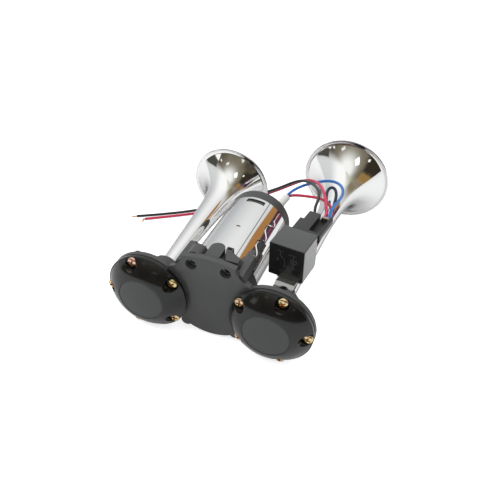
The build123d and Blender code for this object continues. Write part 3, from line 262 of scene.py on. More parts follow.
def new_group(name, inputs, outputs):
    """An empty node group from its inputs' defaults and its outputs' kinds, Float or Color.

    Returns the group, what it is given inside and its last node.
    """
    group = bpy.data.node_groups.new(name, "ShaderNodeTree")
    for label, default in inputs.items():
        kind = "NodeSocketFloat" if isinstance(default, float) else "NodeSocketColor"
        group.interface.new_socket(label, in_out="INPUT", socket_type=kind).default_value = default
    for label, kind in outputs.items():
        group.interface.new_socket(label, in_out="OUTPUT", socket_type="NodeSocket" + kind)
    given = add_node(group, "NodeGroupInput", -900, 0).outputs
    return group, given, add_node(group, "NodeGroupOutput", 700, 0)


def make_grain():
    """Moulded or cast surface: fine noise for bump, and slow patches for roughness."""
    group, given, last = new_group(
        "Fine Grain", {"Scale": 1500.0, "Patch Scale": 60.0, "Roughness": 0.4, "Spread": 0.1},
        {"Height": "Float", "Roughness": "Float", "Patches": "Float"})
    place = add_node(group, "ShaderNodeTexCoord", -700, 0).outputs["Object"]
    fine = noise(group, place, given["Scale"], 3.0, -450, 150)
    slow = noise(group, place, given["Patch Scale"], 5.0, -450, -150)
    centred = number(group, "SUBTRACT", -200, -150, slow, 0.5)
    spread = number(group, "MULTIPLY", 50, -150, centred, given["Spread"])
    total = number(group, "ADD", 300, -150, spread, given["Roughness"], use_clamp=True)
    feed_all(group, last, {"Height": fine, "Roughness": total, "Patches": slow})
    return group


def make_edge_wear():
    """Colour change on convex edges, broken up by noise."""
    group, given, last = new_group(
        "Edge Wear", {"Colour": (0.5, 0.5, 0.5, 1), "Worn Colour": (0.6, 0.6, 0.6, 1), "Amount": 0.5,
                      "Start": 0.52, "End": 0.62}, {"Colour": "Color"})
    pointed = add_node(group, "ShaderNodeNewGeometry", -700, 200).outputs["Pointiness"]
    place = add_node(group, "ShaderNodeTexCoord", -700, -100).outputs["Object"]
    edge = ramp(group, pointed, given["Start"], given["End"], -400, 200)
    broken = number(group, "MULTIPLY", -100, 100, edge, noise(group, place, 700.0, 4.0, -450, -100))
    amount = number(group, "MULTIPLY", 100, 100, broken, given["Amount"], use_clamp=True)
    worn = blend(group, amount, given["Colour"], given["Worn Colour"], 350, 0)
    feed_all(group, last, {"Colour": worn})
    return group


def make_dust():
    """Pale dust that lies on faces that look up, in specks and a thin film."""
    group, given, last = new_group(
        "Settled Dust", {"Colour": (0.02, 0.02, 0.02, 1), "Dust": (0.5, 0.49, 0.47, 1), "Amount": 0.03},
        {"Colour": "Color"})
    normal = add_node(group, "ShaderNodeNewGeometry", -700, 200).outputs["Normal"]
    upward = add_node(group, "ShaderNodeSeparateXYZ", -500, 200, {0: normal}).outputs["Z"]
    lying = ramp(group, upward, -0.1, 1.0, -300, 200)
    place = add_node(group, "ShaderNodeTexCoord", -700, -100).outputs["Object"]
    specks = ramp(group, noise(group, place, 2600.0, 2.0, -500, -100), 0.45, 0.8, -300, -100, lowest=0.35)
    both = number(group, "MULTIPLY", -50, 100, lying, specks)
    amount = number(group, "MULTIPLY", 150, 100, both, given["Amount"], use_clamp=True)
    feed_all(group, last, {"Colour": blend(group, amount, given["Colour"], given["Dust"], 400, 0)})
    return group


EFFECTS = {"Fine Grain": make_grain, "Edge Wear": make_edge_wear, "Settled Dust": make_dust}


def put_effect(tree, name, x, y, inputs):
    """Places an effect's node group, made the first time it is asked for; returns its outputs."""
    group = bpy.data.node_groups.get(name) or EFFECTS[name]()
    return add_node(tree, "ShaderNodeGroup", x, y, inputs, node_tree=group).outputs


# ---------------------------------------------------------------- finishes


def start_material(name, shade, roughness, **inputs):
    """A new material; returns its tree and its shader, with the shader's own values set."""
    material = bpy.data.materials.new(name)
    material.use_nodes = True
    material.diffuse_color = (*shade, 1.0)
    tree = material.node_tree
    shader = tree.nodes["Principled BSDF"]
    feed_all(tree, shader, {"Base Color": shade, "Roughness": roughness})
    feed_all(tree, shader, {key.replace("_", " "): value for key, value in inputs.items()})
    return tree, shader


def give_surface(tree, shader, shade, roughness, spread, grain, scale, patch_scale):
    """Base colour, patchy roughness and, where grain has a depth in metres, fine bump.

    Returns the mask of the patches.
    """
    surface = put_effect(tree, "Fine Grain", -900, -200, {
        "Scale": scale, "Patch Scale": patch_scale, "Roughness": roughness, "Spread": spread})
    feed_all(tree, shader, {"Base Color": shade, "Roughness": surface["Roughness"]})
    if grain:
        bump = add_node(tree, "ShaderNodeBump", -250, -300, {
            "Strength": 1.0, "Distance": grain, "Height": surface["Height"]})
        feed(tree, shader.inputs["Normal"], bump.outputs["Normal"])
    return surface["Patches"]


def moulded_plastic(name, shade, roughness, grain=0.000006, scale=2200.0, spread=0.12, wear=0.35,
                    worn=(0.12, 0.12, 0.12), dust=0.03, **coat):
    """Injection-moulded plastic: spark-eroded grain, paler worn edges and a little dust."""
    tree, shader = start_material(name, shade, roughness, **coat)
    if wear:
        shade = put_effect(tree, "Edge Wear", -700, 200, {
            "Colour": shade, "Worn Colour": worn, "Amount": wear})["Colour"]
    if dust:
        shade = put_effect(tree, "Settled Dust", -450, 200, {"Colour": shade, "Amount": dust})["Colour"]
    give_surface(tree, shader, shade, roughness, spread, grain, scale, 45.0)


def metal(name, shade, roughness, grain=0.000002, spread=0.08, wear=0.0, worn=(0.8, 0.8, 0.8),
          tint=None, tint_scale=90.0, rim=(1.0, 1.0, 1.0)):
    """Bare or plated metal; tint is a second colour in soft patches, rim the colour at a grazing look."""
    tree, shader = start_material(name, shade, roughness, Metallic=1.0, Specular_Tint=rim)
    patches = give_surface(tree, shader, shade, roughness, spread, grain, 1800.0, tint_scale)
    if tint:
        shade = blend(tree, ramp(tree, patches, 0.35, 0.65, -850, 100), shade, tint, -700, 200)
    if wear:
        shade = put_effect(tree, "Edge Wear", -500, 200, {
            "Colour": shade, "Worn Colour": worn, "Amount": wear})["Colour"]
    feed(tree, shader.inputs["Base Color"], shade)


def cable_jacket(name, shade, roughness=0.38):
    """Extruded soft insulation: slight waviness, a waxy sheen and a little dust."""
    tree, shader = start_material(name, shade, roughness)
    dusty = put_effect(tree, "Settled Dust", -450, 200, {"Colour": shade, "Amount": 0.02})["Colour"]
    give_surface(tree, shader, dusty, roughness, 0.15, 0.00001, 500.0, 120.0)


FINISH_NODES = {
    "Body Moulding": ("horn_body", "pump_housing", "end_cap"),
    "Head Cover": ("cover_left", "cover_right"),
    "Relay Housing": ("relay_case", "relay_base"),
    "Relay Socket": ("relay_socket",),
    "Bright Plating": ("trumpet_left", "trumpet_right", "motor_tube"),
    "Zinc": ("relay_bracket", "fixing_inserts", "housing_screws"),
    "Yellow Zinc": ("cover_screws_left", "cover_screws_right"),
    "Black Screw": ("bracket_screw",),
    # painted shade: the terminals' tinned metal is darkened as if in the socket channel's shadow
    "Tinned Brass": ("socket_terminals",),
    "Blade Brass": ("relay_blades",),
    "Gasket Rubber": ("gasket_left", "gasket_right"),
    "Spring Steel": ("diaphragm_left", "diaphragm_right"),
    "Ground Iron": ("pump_liner", "wear_plates", "pump_rotor", "motor_shaft", "armature_core"),
    "Sintered Bronze": ("rear_bush", "front_bush"),
    "Carbon": ("pump_vanes", "brushes"),
    "Ferrite": ("magnets",),
    "Copper": ("armature_winding", "commutator", "lead_ends"),
    "Brush Card": ("brush_card",),
    "Pale Sleeve": ("lead_sleeve",),
    "Black Jacket": ("black_lead",),
    "Red Jacket": ("red_lead", "red_motor_lead"),
    "Blue Jacket": ("blue_lead",),
    # painted shade: the short blue loop's jacket darkened as if in shadow
    "Navy Jacket": ("blue_jumper",),
}


def finish(name):
    """A finished material by name."""
    return bpy.data.materials[name]


# ---------------------------------------------------------------- mesh helpers


def link_object(name, data):
    """A new object in the scene."""
    piece = bpy.data.objects.new(name, data)
    bpy.context.scene.collection.objects.link(piece)
    return piece


def new_object(name, mesh, *finishes):
    """A new mesh in the scene with its finishes."""
    for label in finishes:
        mesh.materials.append(finish(label))
    return link_object(name, mesh)


def mesh_from(name, vertices, faces):
    """A mesh from plain lists, with its normals outwards."""
    mesh = bpy.data.meshes.new(name)
    mesh.from_pydata(vertices, [], faces)
    body = bmesh.new()
    body.from_mesh(mesh)
    bmesh.ops.remove_doubles(body, verts=body.verts, dist=1e-7)
    bmesh.ops.recalc_face_normals(body, faces=body.faces)
    body.to_mesh(mesh)
    body.free()
    return mesh


def turned_mesh(name, profile, centre_x, centre_z, steps):
    """A closed profile of (radius, y) turned about a Y axis."""
    vertices, faces = [], []
    count = len(profile)
    for step in range(steps):
        turn = 2 * math.pi * step / steps
        vertices += [(centre_x + radius * math.sin(turn), y, centre_z + radius * math.cos(turn))
                     for radius, y in profile]
    for step in range(steps):
        here, there = step * count, (step + 1) % steps * count
        for index in range(count):
            after = (index + 1) % count
            if profile[index][0] > 0 or profile[after][0] > 0:
                faces.append((here + index, here + after, there + after, there + index))
    return mesh_from(name, vertices, faces)


def bar_faces(rings, count, base=0):
    """Faces of a closed bar whose points come ring by ring, count points to a ring, from base on."""
    last = base + (rings - 1) * count
    faces = [tuple(range(base, base + count)), tuple(reversed(range(last, last + count)))]
    for ring in range(base, last, count):
        for edge in range(count):
            a, b = ring + edge, ring + (edge + 1) % count
            faces.append((a, b, b + count, a + count))
    return faces


def swept_mesh(name, rings):
    """A bar through rings of as many points each, closed at both ends."""
    points = [point for ring in rings for point in ring]
    return mesh_from(name, points, bar_faces(len(rings), len(rings[0])))


def smooth_by_angle(mesh, degrees):
    """Smooth shading, with edges sharper than the angle kept crisp."""
    mesh.shade_smooth()
    mesh.set_sharp_from_angle(angle=math.radians(degrees))


def set_round_normals(mesh, axis, near=0.985):
    """Exact shading normals on faces turned about a Y axis; faces that lean further keep their own."""
    normals = []
    for face in mesh.polygons:
        for index in face.vertices:
            point = mesh.vertices[index].co
            out = Vector((point.x - axis.x, 0, point.z - axis.z)).normalized()
            facing = out.dot(face.normal)
            normals.append(out * math.copysign(1, facing) if abs(facing) > near else face.normal.copy())
    mesh.normals_split_custom_set(normals)


def round_edges(piece, width, degrees, **settings):
    """Adds a fine bevel to the edges that are sharper than the angle."""
    rounding = piece.modifiers.new("Rounding", "BEVEL")
    rounding.width = width
    rounding.segments = 2
    rounding.limit_method = "ANGLE"
    rounding.angle_limit = math.radians(degrees)
    for key, value in settings.items():
        setattr(rounding, key, value)


def apply_modifiers(piece):
    """Turns a piece's modifiers into its mesh."""
    graph = bpy.context.evaluated_depsgraph_get()
    old, piece.data = piece.data, bpy.data.meshes.new_from_object(piece.evaluated_get(graph))
    piece.modifiers.clear()
    bpy.data.meshes.remove(old)


def discard(piece):
    """Deletes a helper piece and its mesh."""
    mesh = piece.data
    bpy.data.objects.remove(piece)
    bpy.data.meshes.remove(mesh)


def cut(piece, cutter):
    """Takes the cutter's space out of the piece, for good."""
    step = piece.modifiers.new("Cut", "BOOLEAN")
    step.operation = "DIFFERENCE"
    step.solver = "EXACT"
    step.object = cutter
    apply_modifiers(piece)
    discard(cutter)


def box_cutter(low, high):
    """A plain box between two corners."""
    (x0, y0, z0), (x1, y1, z1) = low, high
    ring = [(x0, y0, z0), (x1, y0, z0), (x1, y0, z1), (x0, y0, z1)]
    return link_object("box_cutter", swept_mesh("box_cutter", [ring, [(x, y1, z) for x, _, z in ring]]))


def rod_cutter(radius, low_y, high_y, x, z, steps):
    """A round bar along Y."""
    profile = [(0.0, low_y), (radius, low_y), (radius, high_y), (0.0, high_y)]
    return link_object("rod_cutter", turned_mesh("rod_cutter", profile, x, z, steps))


def turn_about_motor(piece, angle):
    """Turns a piece's mesh about the motor's axis; positive goes from the top towards +X."""
    centre = Matrix.Translation((MOTOR_AXIS.x, 0, MOTOR_AXIS.z))
    piece.data.transform(centre @ Matrix.Rotation(angle, 4, "Y") @ centre.inverted())


def screw_place(axis, side, index):
    """Where a cover screw stands: x and z on the circle round a head's axis."""
    turn = 2 * math.pi * index / SCREWS
    return axis.x + side * SCREW_CIRCLE_R * math.cos(turn), axis.z + SCREW_CIRCLE_R * math.sin(turn)


def arc_points(start, end, bulge, steps):
    """Points of a shallow arc from start to end, which bulges outwards in its middle."""
    ax, ay = start
    bx, by = (start[0] + end[0]) / 2 + bulge, (start[1] + end[1]) / 2 - bulge
    cx, cy = end
    a, b, c = ax**2 + ay**2, bx**2 + by**2, cx**2 + cy**2
    twice_area = 2 * (ax * (by - cy) + bx * (cy - ay) + cx * (ay - by))
    centre_x = (a * (by - cy) + b * (cy - ay) + c * (ay - by)) / twice_area
    centre_y = (a * (cx - bx) + b * (ax - cx) + c * (bx - ax)) / twice_area
    radius = math.hypot(ax - centre_x, ay - centre_y)
    first = math.atan2(ay - centre_y, ax - centre_x)
    sweep = math.atan2(cy - centre_y, cx - centre_x) - first
    turns = [first + sweep * step / steps for step in range(steps + 1)]
    return [(centre_x + radius * math.cos(turn), centre_y + radius * math.sin(turn)) for turn in turns]


# ---------------------------------------------------------------- operators


class HORN_OT_finishes(bpy.types.Operator):
    """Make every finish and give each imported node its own"""

    bl_idname = "horn.finishes"
    bl_label = "Finishes"

    def plastics(self, colours):
        """Mouldings, rubber, carbon and the like."""
        moulded_plastic("Body Moulding", colours.moulding[:], 0.42, grain=0.000008, dust=0.02)
        moulded_plastic("Head Cover", colours.cover[:], 0.13, grain=0.000001, scale=900, spread=0.05,
                        wear=0.10, dust=0.004)
        moulded_plastic("Cover Disc", colours.cover_disc[:], 0.38, grain=0.000003, spread=0.06,
                        wear=0.10, dust=0.01)
        moulded_plastic("Relay Housing", colours.relay[:], 0.22, grain=0.000001, spread=0.06, dust=0.01,
                        Coat_Weight=1.0, Coat_Roughness=0.20, Coat_IOR=1.6)
        moulded_plastic("Relay Socket", colours.relay[:], 0.42, dust=0.02)
        moulded_plastic("Relay Print", colours.relay_print[:], 0.45, grain=0.0, wear=0.0, dust=0.0)
        moulded_plastic("Pale Sleeve", (0.80, 0.79, 0.76), 0.45, grain=0.00002, scale=900, wear=0.0, dust=0.0)
        moulded_plastic("Gasket Rubber", (0.012, 0.012, 0.012), 0.7, wear=0.0)
        moulded_plastic("Carbon", (0.02, 0.02, 0.02), 0.6, wear=0.1)
        moulded_plastic("Ferrite", (0.06, 0.06, 0.065), 0.65, wear=0.2)
        moulded_plastic("Brush Card", (0.22, 0.13, 0.05), 0.6, wear=0.0)
        moulded_plastic("Black Screw", (0.02, 0.02, 0.021), 0.3, grain=0.000003, wear=0.6,
                        worn=(0.3, 0.3, 0.3))

    def metals(self, colours):
        """Plated and bare metals."""
        metal("Bright Plating", colours.plating[:], 0.03, grain=0.0, spread=0.02, rim=(0.45, 0.45, 0.46))
        metal("Zinc", colours.zinc[:], 0.36, wear=0.3, tint=(0.70, 0.74, 0.75))
        metal("Yellow Zinc", colours.yellow_zinc[:], 0.20, tint=(0.80, 0.50, 0.42), tint_scale=160.0,
              wear=0.2, worn=(0.9, 0.85, 0.7), rim=(0.6, 0.5, 0.4))
        # tinned brass with its colour darkened to a painted shade of the socket's channel
        metal("Tinned Brass", (0.45, 0.45, 0.42), 0.30, tint=(0.40, 0.36, 0.28))
        metal("Blade Brass", (0.75, 0.58, 0.28), 0.25)
        metal("Spring Steel", (0.55, 0.56, 0.58), 0.25)
        metal("Ground Iron", (0.42, 0.42, 0.43), 0.35, grain=0.000005)
        metal("Sintered Bronze", (0.55, 0.36, 0.18), 0.45, grain=0.00001)
        metal("Copper", (0.80, 0.42, 0.25), 0.28, tint=(0.70, 0.35, 0.20))

    def execute(self, context):
        colours = context.scene.horn_colours
        self.plastics(colours)
        self.metals(colours)
        # the short loop's jacket is the blue jacket darkened to a painted shade
        for shade in ("black", "red", "blue", "navy"):
            cable_jacket(shade.title() + " Jacket", getattr(colours, shade + "_jacket")[:])
        dressed = set()
        for name, members in FINISH_NODES.items():
            for member in members:
                mesh = NODES[member].data
                mesh.materials.clear()
                mesh.materials.append(finish(name))
                dressed.add(member)
        missing = sorted(set(NODES) - dressed)
        if missing:
            raise RuntimeError(f"no finish for {missing}")
        return {"FINISHED"}


class HORN_OT_trumpets(bpy.types.Operator):
    """Turn both plated trumpets with a fine bell and a rolled edge"""

    bl_idname = "horn.trumpets"
    bl_label = "Trumpets"

    rings: IntProperty(name="Rings", description="Rings from the neck to the rolled edge", default=90, min=20)
    crowding: FloatProperty(name="Crowding", description="How close the rings stand at the bell; 1 is even",
                            default=1.7, min=1.0)
    edge_end: FloatProperty(name="Edge End", description="How far round the rolled edge goes",
                            default=math.radians(100), subtype="ANGLE")
    edge_steps: IntProperty(name="Edge Steps", description="Facets across the rolled edge", default=12, min=3)

    def turn(self, sizes, node, axis, taper, flare, ease):
        """One trumpet: throat in its neck, tapered tube, flared bell and rolled edge, as an open wall."""
        low, high = box_of(node)
        rim_y, bell_r = high.y, (high.x - low.x) / 2
        wall, bead = sizes.trumpet_wall, sizes.bead
        opening = bell_r - bead - sizes.throat - taper * (rim_y - NECK_END)
        run = rim_y - 2.2 * bead - NECK_END
        outside, inside = [(sizes.throat, low.y)], [(sizes.throat - wall, low.y)]
        for ring in range(self.rings + 1):
            y = NECK_END + run * (1 - (1 - ring / self.rings) ** self.crowding)
            back = (rim_y - y) / flare
            swell = opening * math.exp(-back ** ease)
            radius = sizes.throat + taper * (y - NECK_END) + swell
            slope = taper + swell * ease * back ** (ease - 1) / flare
            lean = math.hypot(1, slope)
            outside.append((radius, y))
            inside.append((radius - wall / lean, y + wall * slope / lean))
        edge_r, edge_y = bell_r - bead, rim_y - bead
        first = math.atan2(outside[-1][1] - edge_y, outside[-1][0] - edge_r)
        for step in range(1, self.edge_steps + 1):
            turn = first + (self.edge_end - first) * step / self.edge_steps
            outside.append((edge_r + bead * math.cos(turn), edge_y + bead * math.sin(turn)))
        mesh = turned_mesh(node + "_skin", outside + inside[::-1], axis.x, axis.z, sizes.turn_steps)
        smooth_by_angle(mesh, 50)
        piece = new_object(node + "_skin", mesh, "Bright Plating")
        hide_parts(node)
        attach(piece, "horn")

    def execute(self, context):
        sizes = context.scene.horn_sizes
        self.turn(sizes, "trumpet_right", RIGHT_AXIS, sizes.long_taper, sizes.long_flare, 1.0)
        self.turn(sizes, "trumpet_left", LEFT_AXIS, sizes.short_taper, sizes.short_flare, sizes.short_ease)
        return {"FINISHED"}


class HORN_OT_motor_tube(bpy.types.Operator):
    """Roll the motor's tube and cut its jigsaw seam, locating slot and pip"""

    bl_idname = "horn.motor_tube"
    bl_label = "Motor Tube"

    seam_angle: FloatProperty(name="Seam Angle", description="Place of the seam round the tube",
                              default=math.radians(49.4), subtype="ANGLE")
    seam_depth: length("Seam Depth", "Depth of the seam's pressed-in edges", 0.0006)
    seam_start: length("Seam Start", "Place of the first tab along the horn", 0.033)
    seam_corner: length("Seam Corner", "Reach of the rounding at the tabs' corners", 0.0019)
    tabs: IntProperty(name="Tabs", description="Number of tabs along the seam", default=3, min=1)
    tab_reach: length("Tab Reach", "How far the tabs stand to each side", 0.0024)
    tab_pitch: length("Tab Pitch", "Distance from tab to tab", 0.0186)
    slot_angle: FloatProperty(name="Slot Angle", description="Place of the locating slot round the tube",
                              default=math.radians(3.0), subtype="ANGLE")
    slot_place: length("Slot Place", "Place of the locating slot along the horn", 0.090)
    slot_across: length("Slot Across", "Length of the locating slot round the tube", 0.0140)
    slot_along: length("Slot Along", "Width of the locating slot along the tube", 0.0042)
    pip_angle: FloatProperty(name="Pip Angle", description="Place of the pip round the tube",
                             default=math.radians(2.5), subtype="ANGLE")
    pip_place: length("Pip Place", "Place of the pip along the horn", 0.055)
    pip_r: length("Pip Radius", "Radius of the pip's punch", 0.0019)
    pip_lean: FloatProperty(name="Pip Lean", description="How far the pip's punch leans",
                            default=math.radians(-24), subtype="ANGLE")

    def seam_line(self, start_y, end_y):
        """The seam drawn flat as (across, along), with its corners rounded."""
        quarter, reach, past = self.tab_pitch / 4, self.tab_reach, 0.001
        step_in = quarter * 0.3
        first = START_Y + self.seam_start
        corners = [Vector((0.0, start_y - past)), Vector((0.0, first - quarter - 3 * step_in))]
        for tab in range(self.tabs):
            y = first + tab * self.tab_pitch
            corners += [Vector((across, y + along * quarter)) for across, along in
                        ((-reach, -0.7), (-reach, 0.7), (reach, 1.4), (reach, 2.3))]
        corners += [Vector((0.0, corners[-1].y + step_in)), Vector((0.0, end_y + past))]
        line, most = [corners[0]], 0.47  # most of a side that one rounding may take
        for before, corner, after in zip(corners, corners[1:], corners[2:]):
            into, out = corner - before, after - corner
            room = min(self.seam_corner, into.length * most, out.length * most)
            start, end = corner - into.normalized() * room, corner + out.normalized() * room
            line += [start * (1 - t) ** 2 + corner * 2 * t * (1 - t) + end * t ** 2
                     for t in (step / 8 for step in range(9))]
        return line + [corners[-1]]

    def seam_cutter(self, sizes, start_y, end_y, top):
        """A narrow wedge along the seam, through the wall at the top of the tube."""
        half, over, sunk = sizes.seam_width / 2, 0.0006, 0.00002
        narrow, under = half * 0.28, -sizes.tube_wall - 0.001
        right = [(half, over), (half, 0.0), (narrow, -self.seam_depth), (narrow, under)]
        section = [(-across, high) for across, high in right] + right[::-1]
        line = self.seam_line(start_y, end_y)
        rings = []
        for index, point in enumerate(line):
            ahead = (line[min(index + 1, len(line) - 1)] - line[max(index - 1, 0)]).normalized()
            side = Vector((ahead.y, -ahead.x))
            spots = [(point + side * across, high) for across, high in section]
            rings.append([(MOTOR_AXIS.x + spot.x, spot.y, top - sunk + high) for spot, high in spots])
        return link_object("seam_cutter", swept_mesh("seam_cutter", rings))

    def slot_cutter(self, top):
        """A flat box through the wall at the top of the tube."""
        x, y, under, over = MOTOR_AXIS.x, START_Y + self.slot_place, 0.005, 0.002
        across, along = self.slot_across / 2, self.slot_along / 2
        return box_cutter((x - across, y - along, top - under), (x + across, y + along, top + over))

    def pip_cutter(self, top):
        """A leaning punch that leaves a crescent."""
        depth, over = 0.0016, 0.0009
        pip = link_object("pip_cutter", bpy.data.meshes.new("pip_cutter"))
        form = bmesh.new()
        place = Matrix.Translation((MOTOR_AXIS.x, START_Y + self.pip_place, top + over))
        bmesh.ops.create_cone(form, cap_ends=True, segments=40, radius1=self.pip_r, radius2=self.pip_r,
                              depth=depth, matrix=place @ Matrix.Rotation(self.pip_lean, 4, "X"))
        form.to_mesh(pip.data)
        form.free()
        return pip

    def execute(self, context):
        sizes = context.scene.horn_sizes
        low, high = box_of("motor_tube")
        radius, soft = (high.x - low.x) / 2, 0.0003
        inner, top = radius - sizes.tube_wall, MOTOR_AXIS.z + radius
        profile = [(inner, low.y), (radius - soft, low.y), (radius, low.y + soft), (radius, high.y - soft),
                   (radius - soft, high.y), (inner, high.y)]
        mesh = turned_mesh("motor_tube_skin", profile, MOTOR_AXIS.x, MOTOR_AXIS.z, sizes.turn_steps)
        piece = new_object("motor_tube_skin", mesh, "Bright Plating")
        for cutter, angle in ((self.seam_cutter(sizes, low.y, high.y, top), self.seam_angle),
                              (self.slot_cutter(top), self.slot_angle),
                              (self.pip_cutter(top), self.pip_angle)):
            turn_about_motor(cutter, angle)
            cut(piece, cutter)
        set_round_normals(piece.data, MOTOR_AXIS)
        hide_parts("motor_tube")
        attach(piece, "horn")
        return {"FINISHED"}


class HORN_OT_covers(bpy.types.Operator):
    """Turn the two domed head covers and sink their five screw pockets"""

    bl_idname = "horn.covers"
    bl_label = "Head Covers"

    rim_r: length("Rim Radius", "Radius of a cover's flange", 0.0297)
    flange: length("Flange", "Thickness of a cover's flange", 0.0022)
    cone_r: length("Cone Radius", "Radius of the cone at the flange", 0.0290)
    bulge: length("Bulge", "How far the cone bulges outwards", 0.0009)
    disc_r: length("Disc Radius", "Radius of the disc in the middle", 0.01635, 5)
    pocket_r: length("Pocket Radius", "Radius of a screw's pocket", 0.0046)
    edge: length("Edge", "Rounding of a cover's edges", 0.0003)

    def profile(self, front, back):
        """Section of a cover, from its middle over groove, cone and flange back to its middle."""
        seat, soft = back - self.flange, 0.00035
        groove = ((0.0012, 0.0), (0.0007, 0.00012), (0.00035, 0.00038), (0.0, 0.0002))
        points = [(0.0, front)] + [(self.disc_r - inset, front + depth) for inset, depth in groove]
        points += arc_points((self.disc_r, front), (self.cone_r, seat), self.bulge, 24)[1:]
        points += [(self.rim_r - soft, seat), (self.rim_r, seat + soft), (self.rim_r, back), (0.0, back)]
        return points

    def execute(self, context):
        steps = context.scene.horn_sizes.turn_steps
        for side, name, axis in ((1, "cover_right", RIGHT_AXIS), (-1, "cover_left", LEFT_AXIS)):
            front, back = (corner.y for corner in box_of(name))
            disc_r, disc_y = self.disc_r - 0.0004, front + 0.0004
            mesh = turned_mesh(name + "_shell", self.profile(front, back), axis.x, axis.z, steps)
            piece = new_object(name + "_shell", mesh, "Head Cover", "Cover Disc")
            for index in range(SCREWS):
                cut(piece, rod_cutter(self.pocket_r, front - 0.002, back - self.flange,
                                      *screw_place(axis, side, index), steps=64))
            round_edges(piece, self.edge, 38)
            apply_modifiers(piece)
            smooth_by_angle(piece.data, 30)
            for face in piece.data.polygons:
                reach = math.hypot(face.center.x - axis.x, face.center.z - axis.z)
                face.material_index = int(reach < disc_r and face.center.y < disc_y)
            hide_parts(name)
            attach(piece, "horn")
        return {"FINISHED"}


class HORN_OT_cover_screws(bpy.types.Operator):
    """Turn the cross-head screws of both covers"""

    bl_idname = "horn.cover_screws"
    bl_label = "Cover Screws"

    head_r: length("Head Radius", "Radius of a screw's pan head", 0.00375, 5)
    head_h: length("Head Height", "Height of a screw's pan head", 0.0024)
    thread_r: length("Thread Radius", "Radius of a screw's thread", 0.0020)
    reach: length("Reach", "Length of a screw under its head", 0.0080)
    recess_span: length("Recess Span", "Length of the cross recess's arms", 0.0050)
    recess_width: length("Recess Width", "Width of the cross recess's arms", 0.00124, 5)
    recess_depth: length("Recess Depth", "Depth of the cross recess", 0.0018)

    def profile(self, seat):
        """Flat crown, rounded shoulder, short straight rim and shank with a blunt end."""
        r, h, shank, end = self.head_r, self.head_h, self.thread_r, seat + self.reach
        points = [(0.0, seat - h), (r * 0.45, seat - h * 0.99)]
        for step in range(9):
            turn = math.radians(80 - 10 * step)
            points.append((r * 0.52 + r * 0.46 * math.cos(turn), seat - h * 0.38 - h * 0.58 * math.sin(turn)))
        return points + [(r * 0.98, seat - 0.0002), (r * 0.93, seat), (shank, seat), (shank, end - 0.0008),
                         (shank * 0.6, end), (0.0, end)]

    def screw(self, seat):
        """One screw on the Y axis."""
        piece = link_object("screw", turned_mesh("screw", self.profile(seat), 0.0, 0.0, 64))
        crown, over = seat - self.head_h, 0.001
        bore_r, bore_deeper = 0.00095, 0.0003
        span, width, floor = self.recess_span / 2, self.recess_width / 2, crown + self.recess_depth
        for quarter in (0, 90):
            blade = box_cutter((-span, crown - over, -width), (span, floor, width))
            blade.data.transform(Matrix.Rotation(math.radians(quarter), 4, "Y"))
            cut(piece, blade)
        cut(piece, rod_cutter(bore_r, crown - over, floor + bore_deeper, 0.0, 0.0, 24))
        return piece

    def execute(self, context):
        pattern = self.screw(START_Y + SEAT_Y)
        for side, name, axis in ((1, "cover_screws_right", RIGHT_AXIS), (-1, "cover_screws_left", LEFT_AXIS)):
            form = bmesh.new()
            for index in range(SCREWS):
                x, z = screw_place(axis, side, index)
                stands = 37 * index + 20 * side  # degrees, so that each cross stands its own way
                spin = Matrix.Rotation(math.radians(stands), 4, "Y")
                single = pattern.data.copy()
                single.transform(Matrix.Translation((x, 0, z)) @ spin)
                form.from_mesh(single)
                bpy.data.meshes.remove(single)
            mesh = bpy.data.meshes.new(name + "_turned")
            form.to_mesh(mesh)
            form.free()
            smooth_by_angle(mesh, 32)
            piece = new_object(name + "_turned", mesh, "Yellow Zinc")
            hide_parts(name)
            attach(piece, "horn")
        discard(pattern)
        return {"FINISHED"}


class HORN_OT_mouldings(bpy.types.Operator):
    """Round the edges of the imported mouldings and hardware"""

    bl_idname = "horn.mouldings"
    bl_label = "Mouldings and Hardware"

    def execute(self, context):
        width = context.scene.horn_sizes.edge_round
        for name, share in (("horn_body", 1.0), ("pump_housing", 1.0), ("end_cap", 0.8), ("relay_case", 0.6),
                            ("relay_base", 0.6), ("relay_socket", 1.0), ("relay_bracket", 0.5)):
            round_edges(NODES[name], width * share, 40, harden_normals=True)
        return {"FINISHED"}


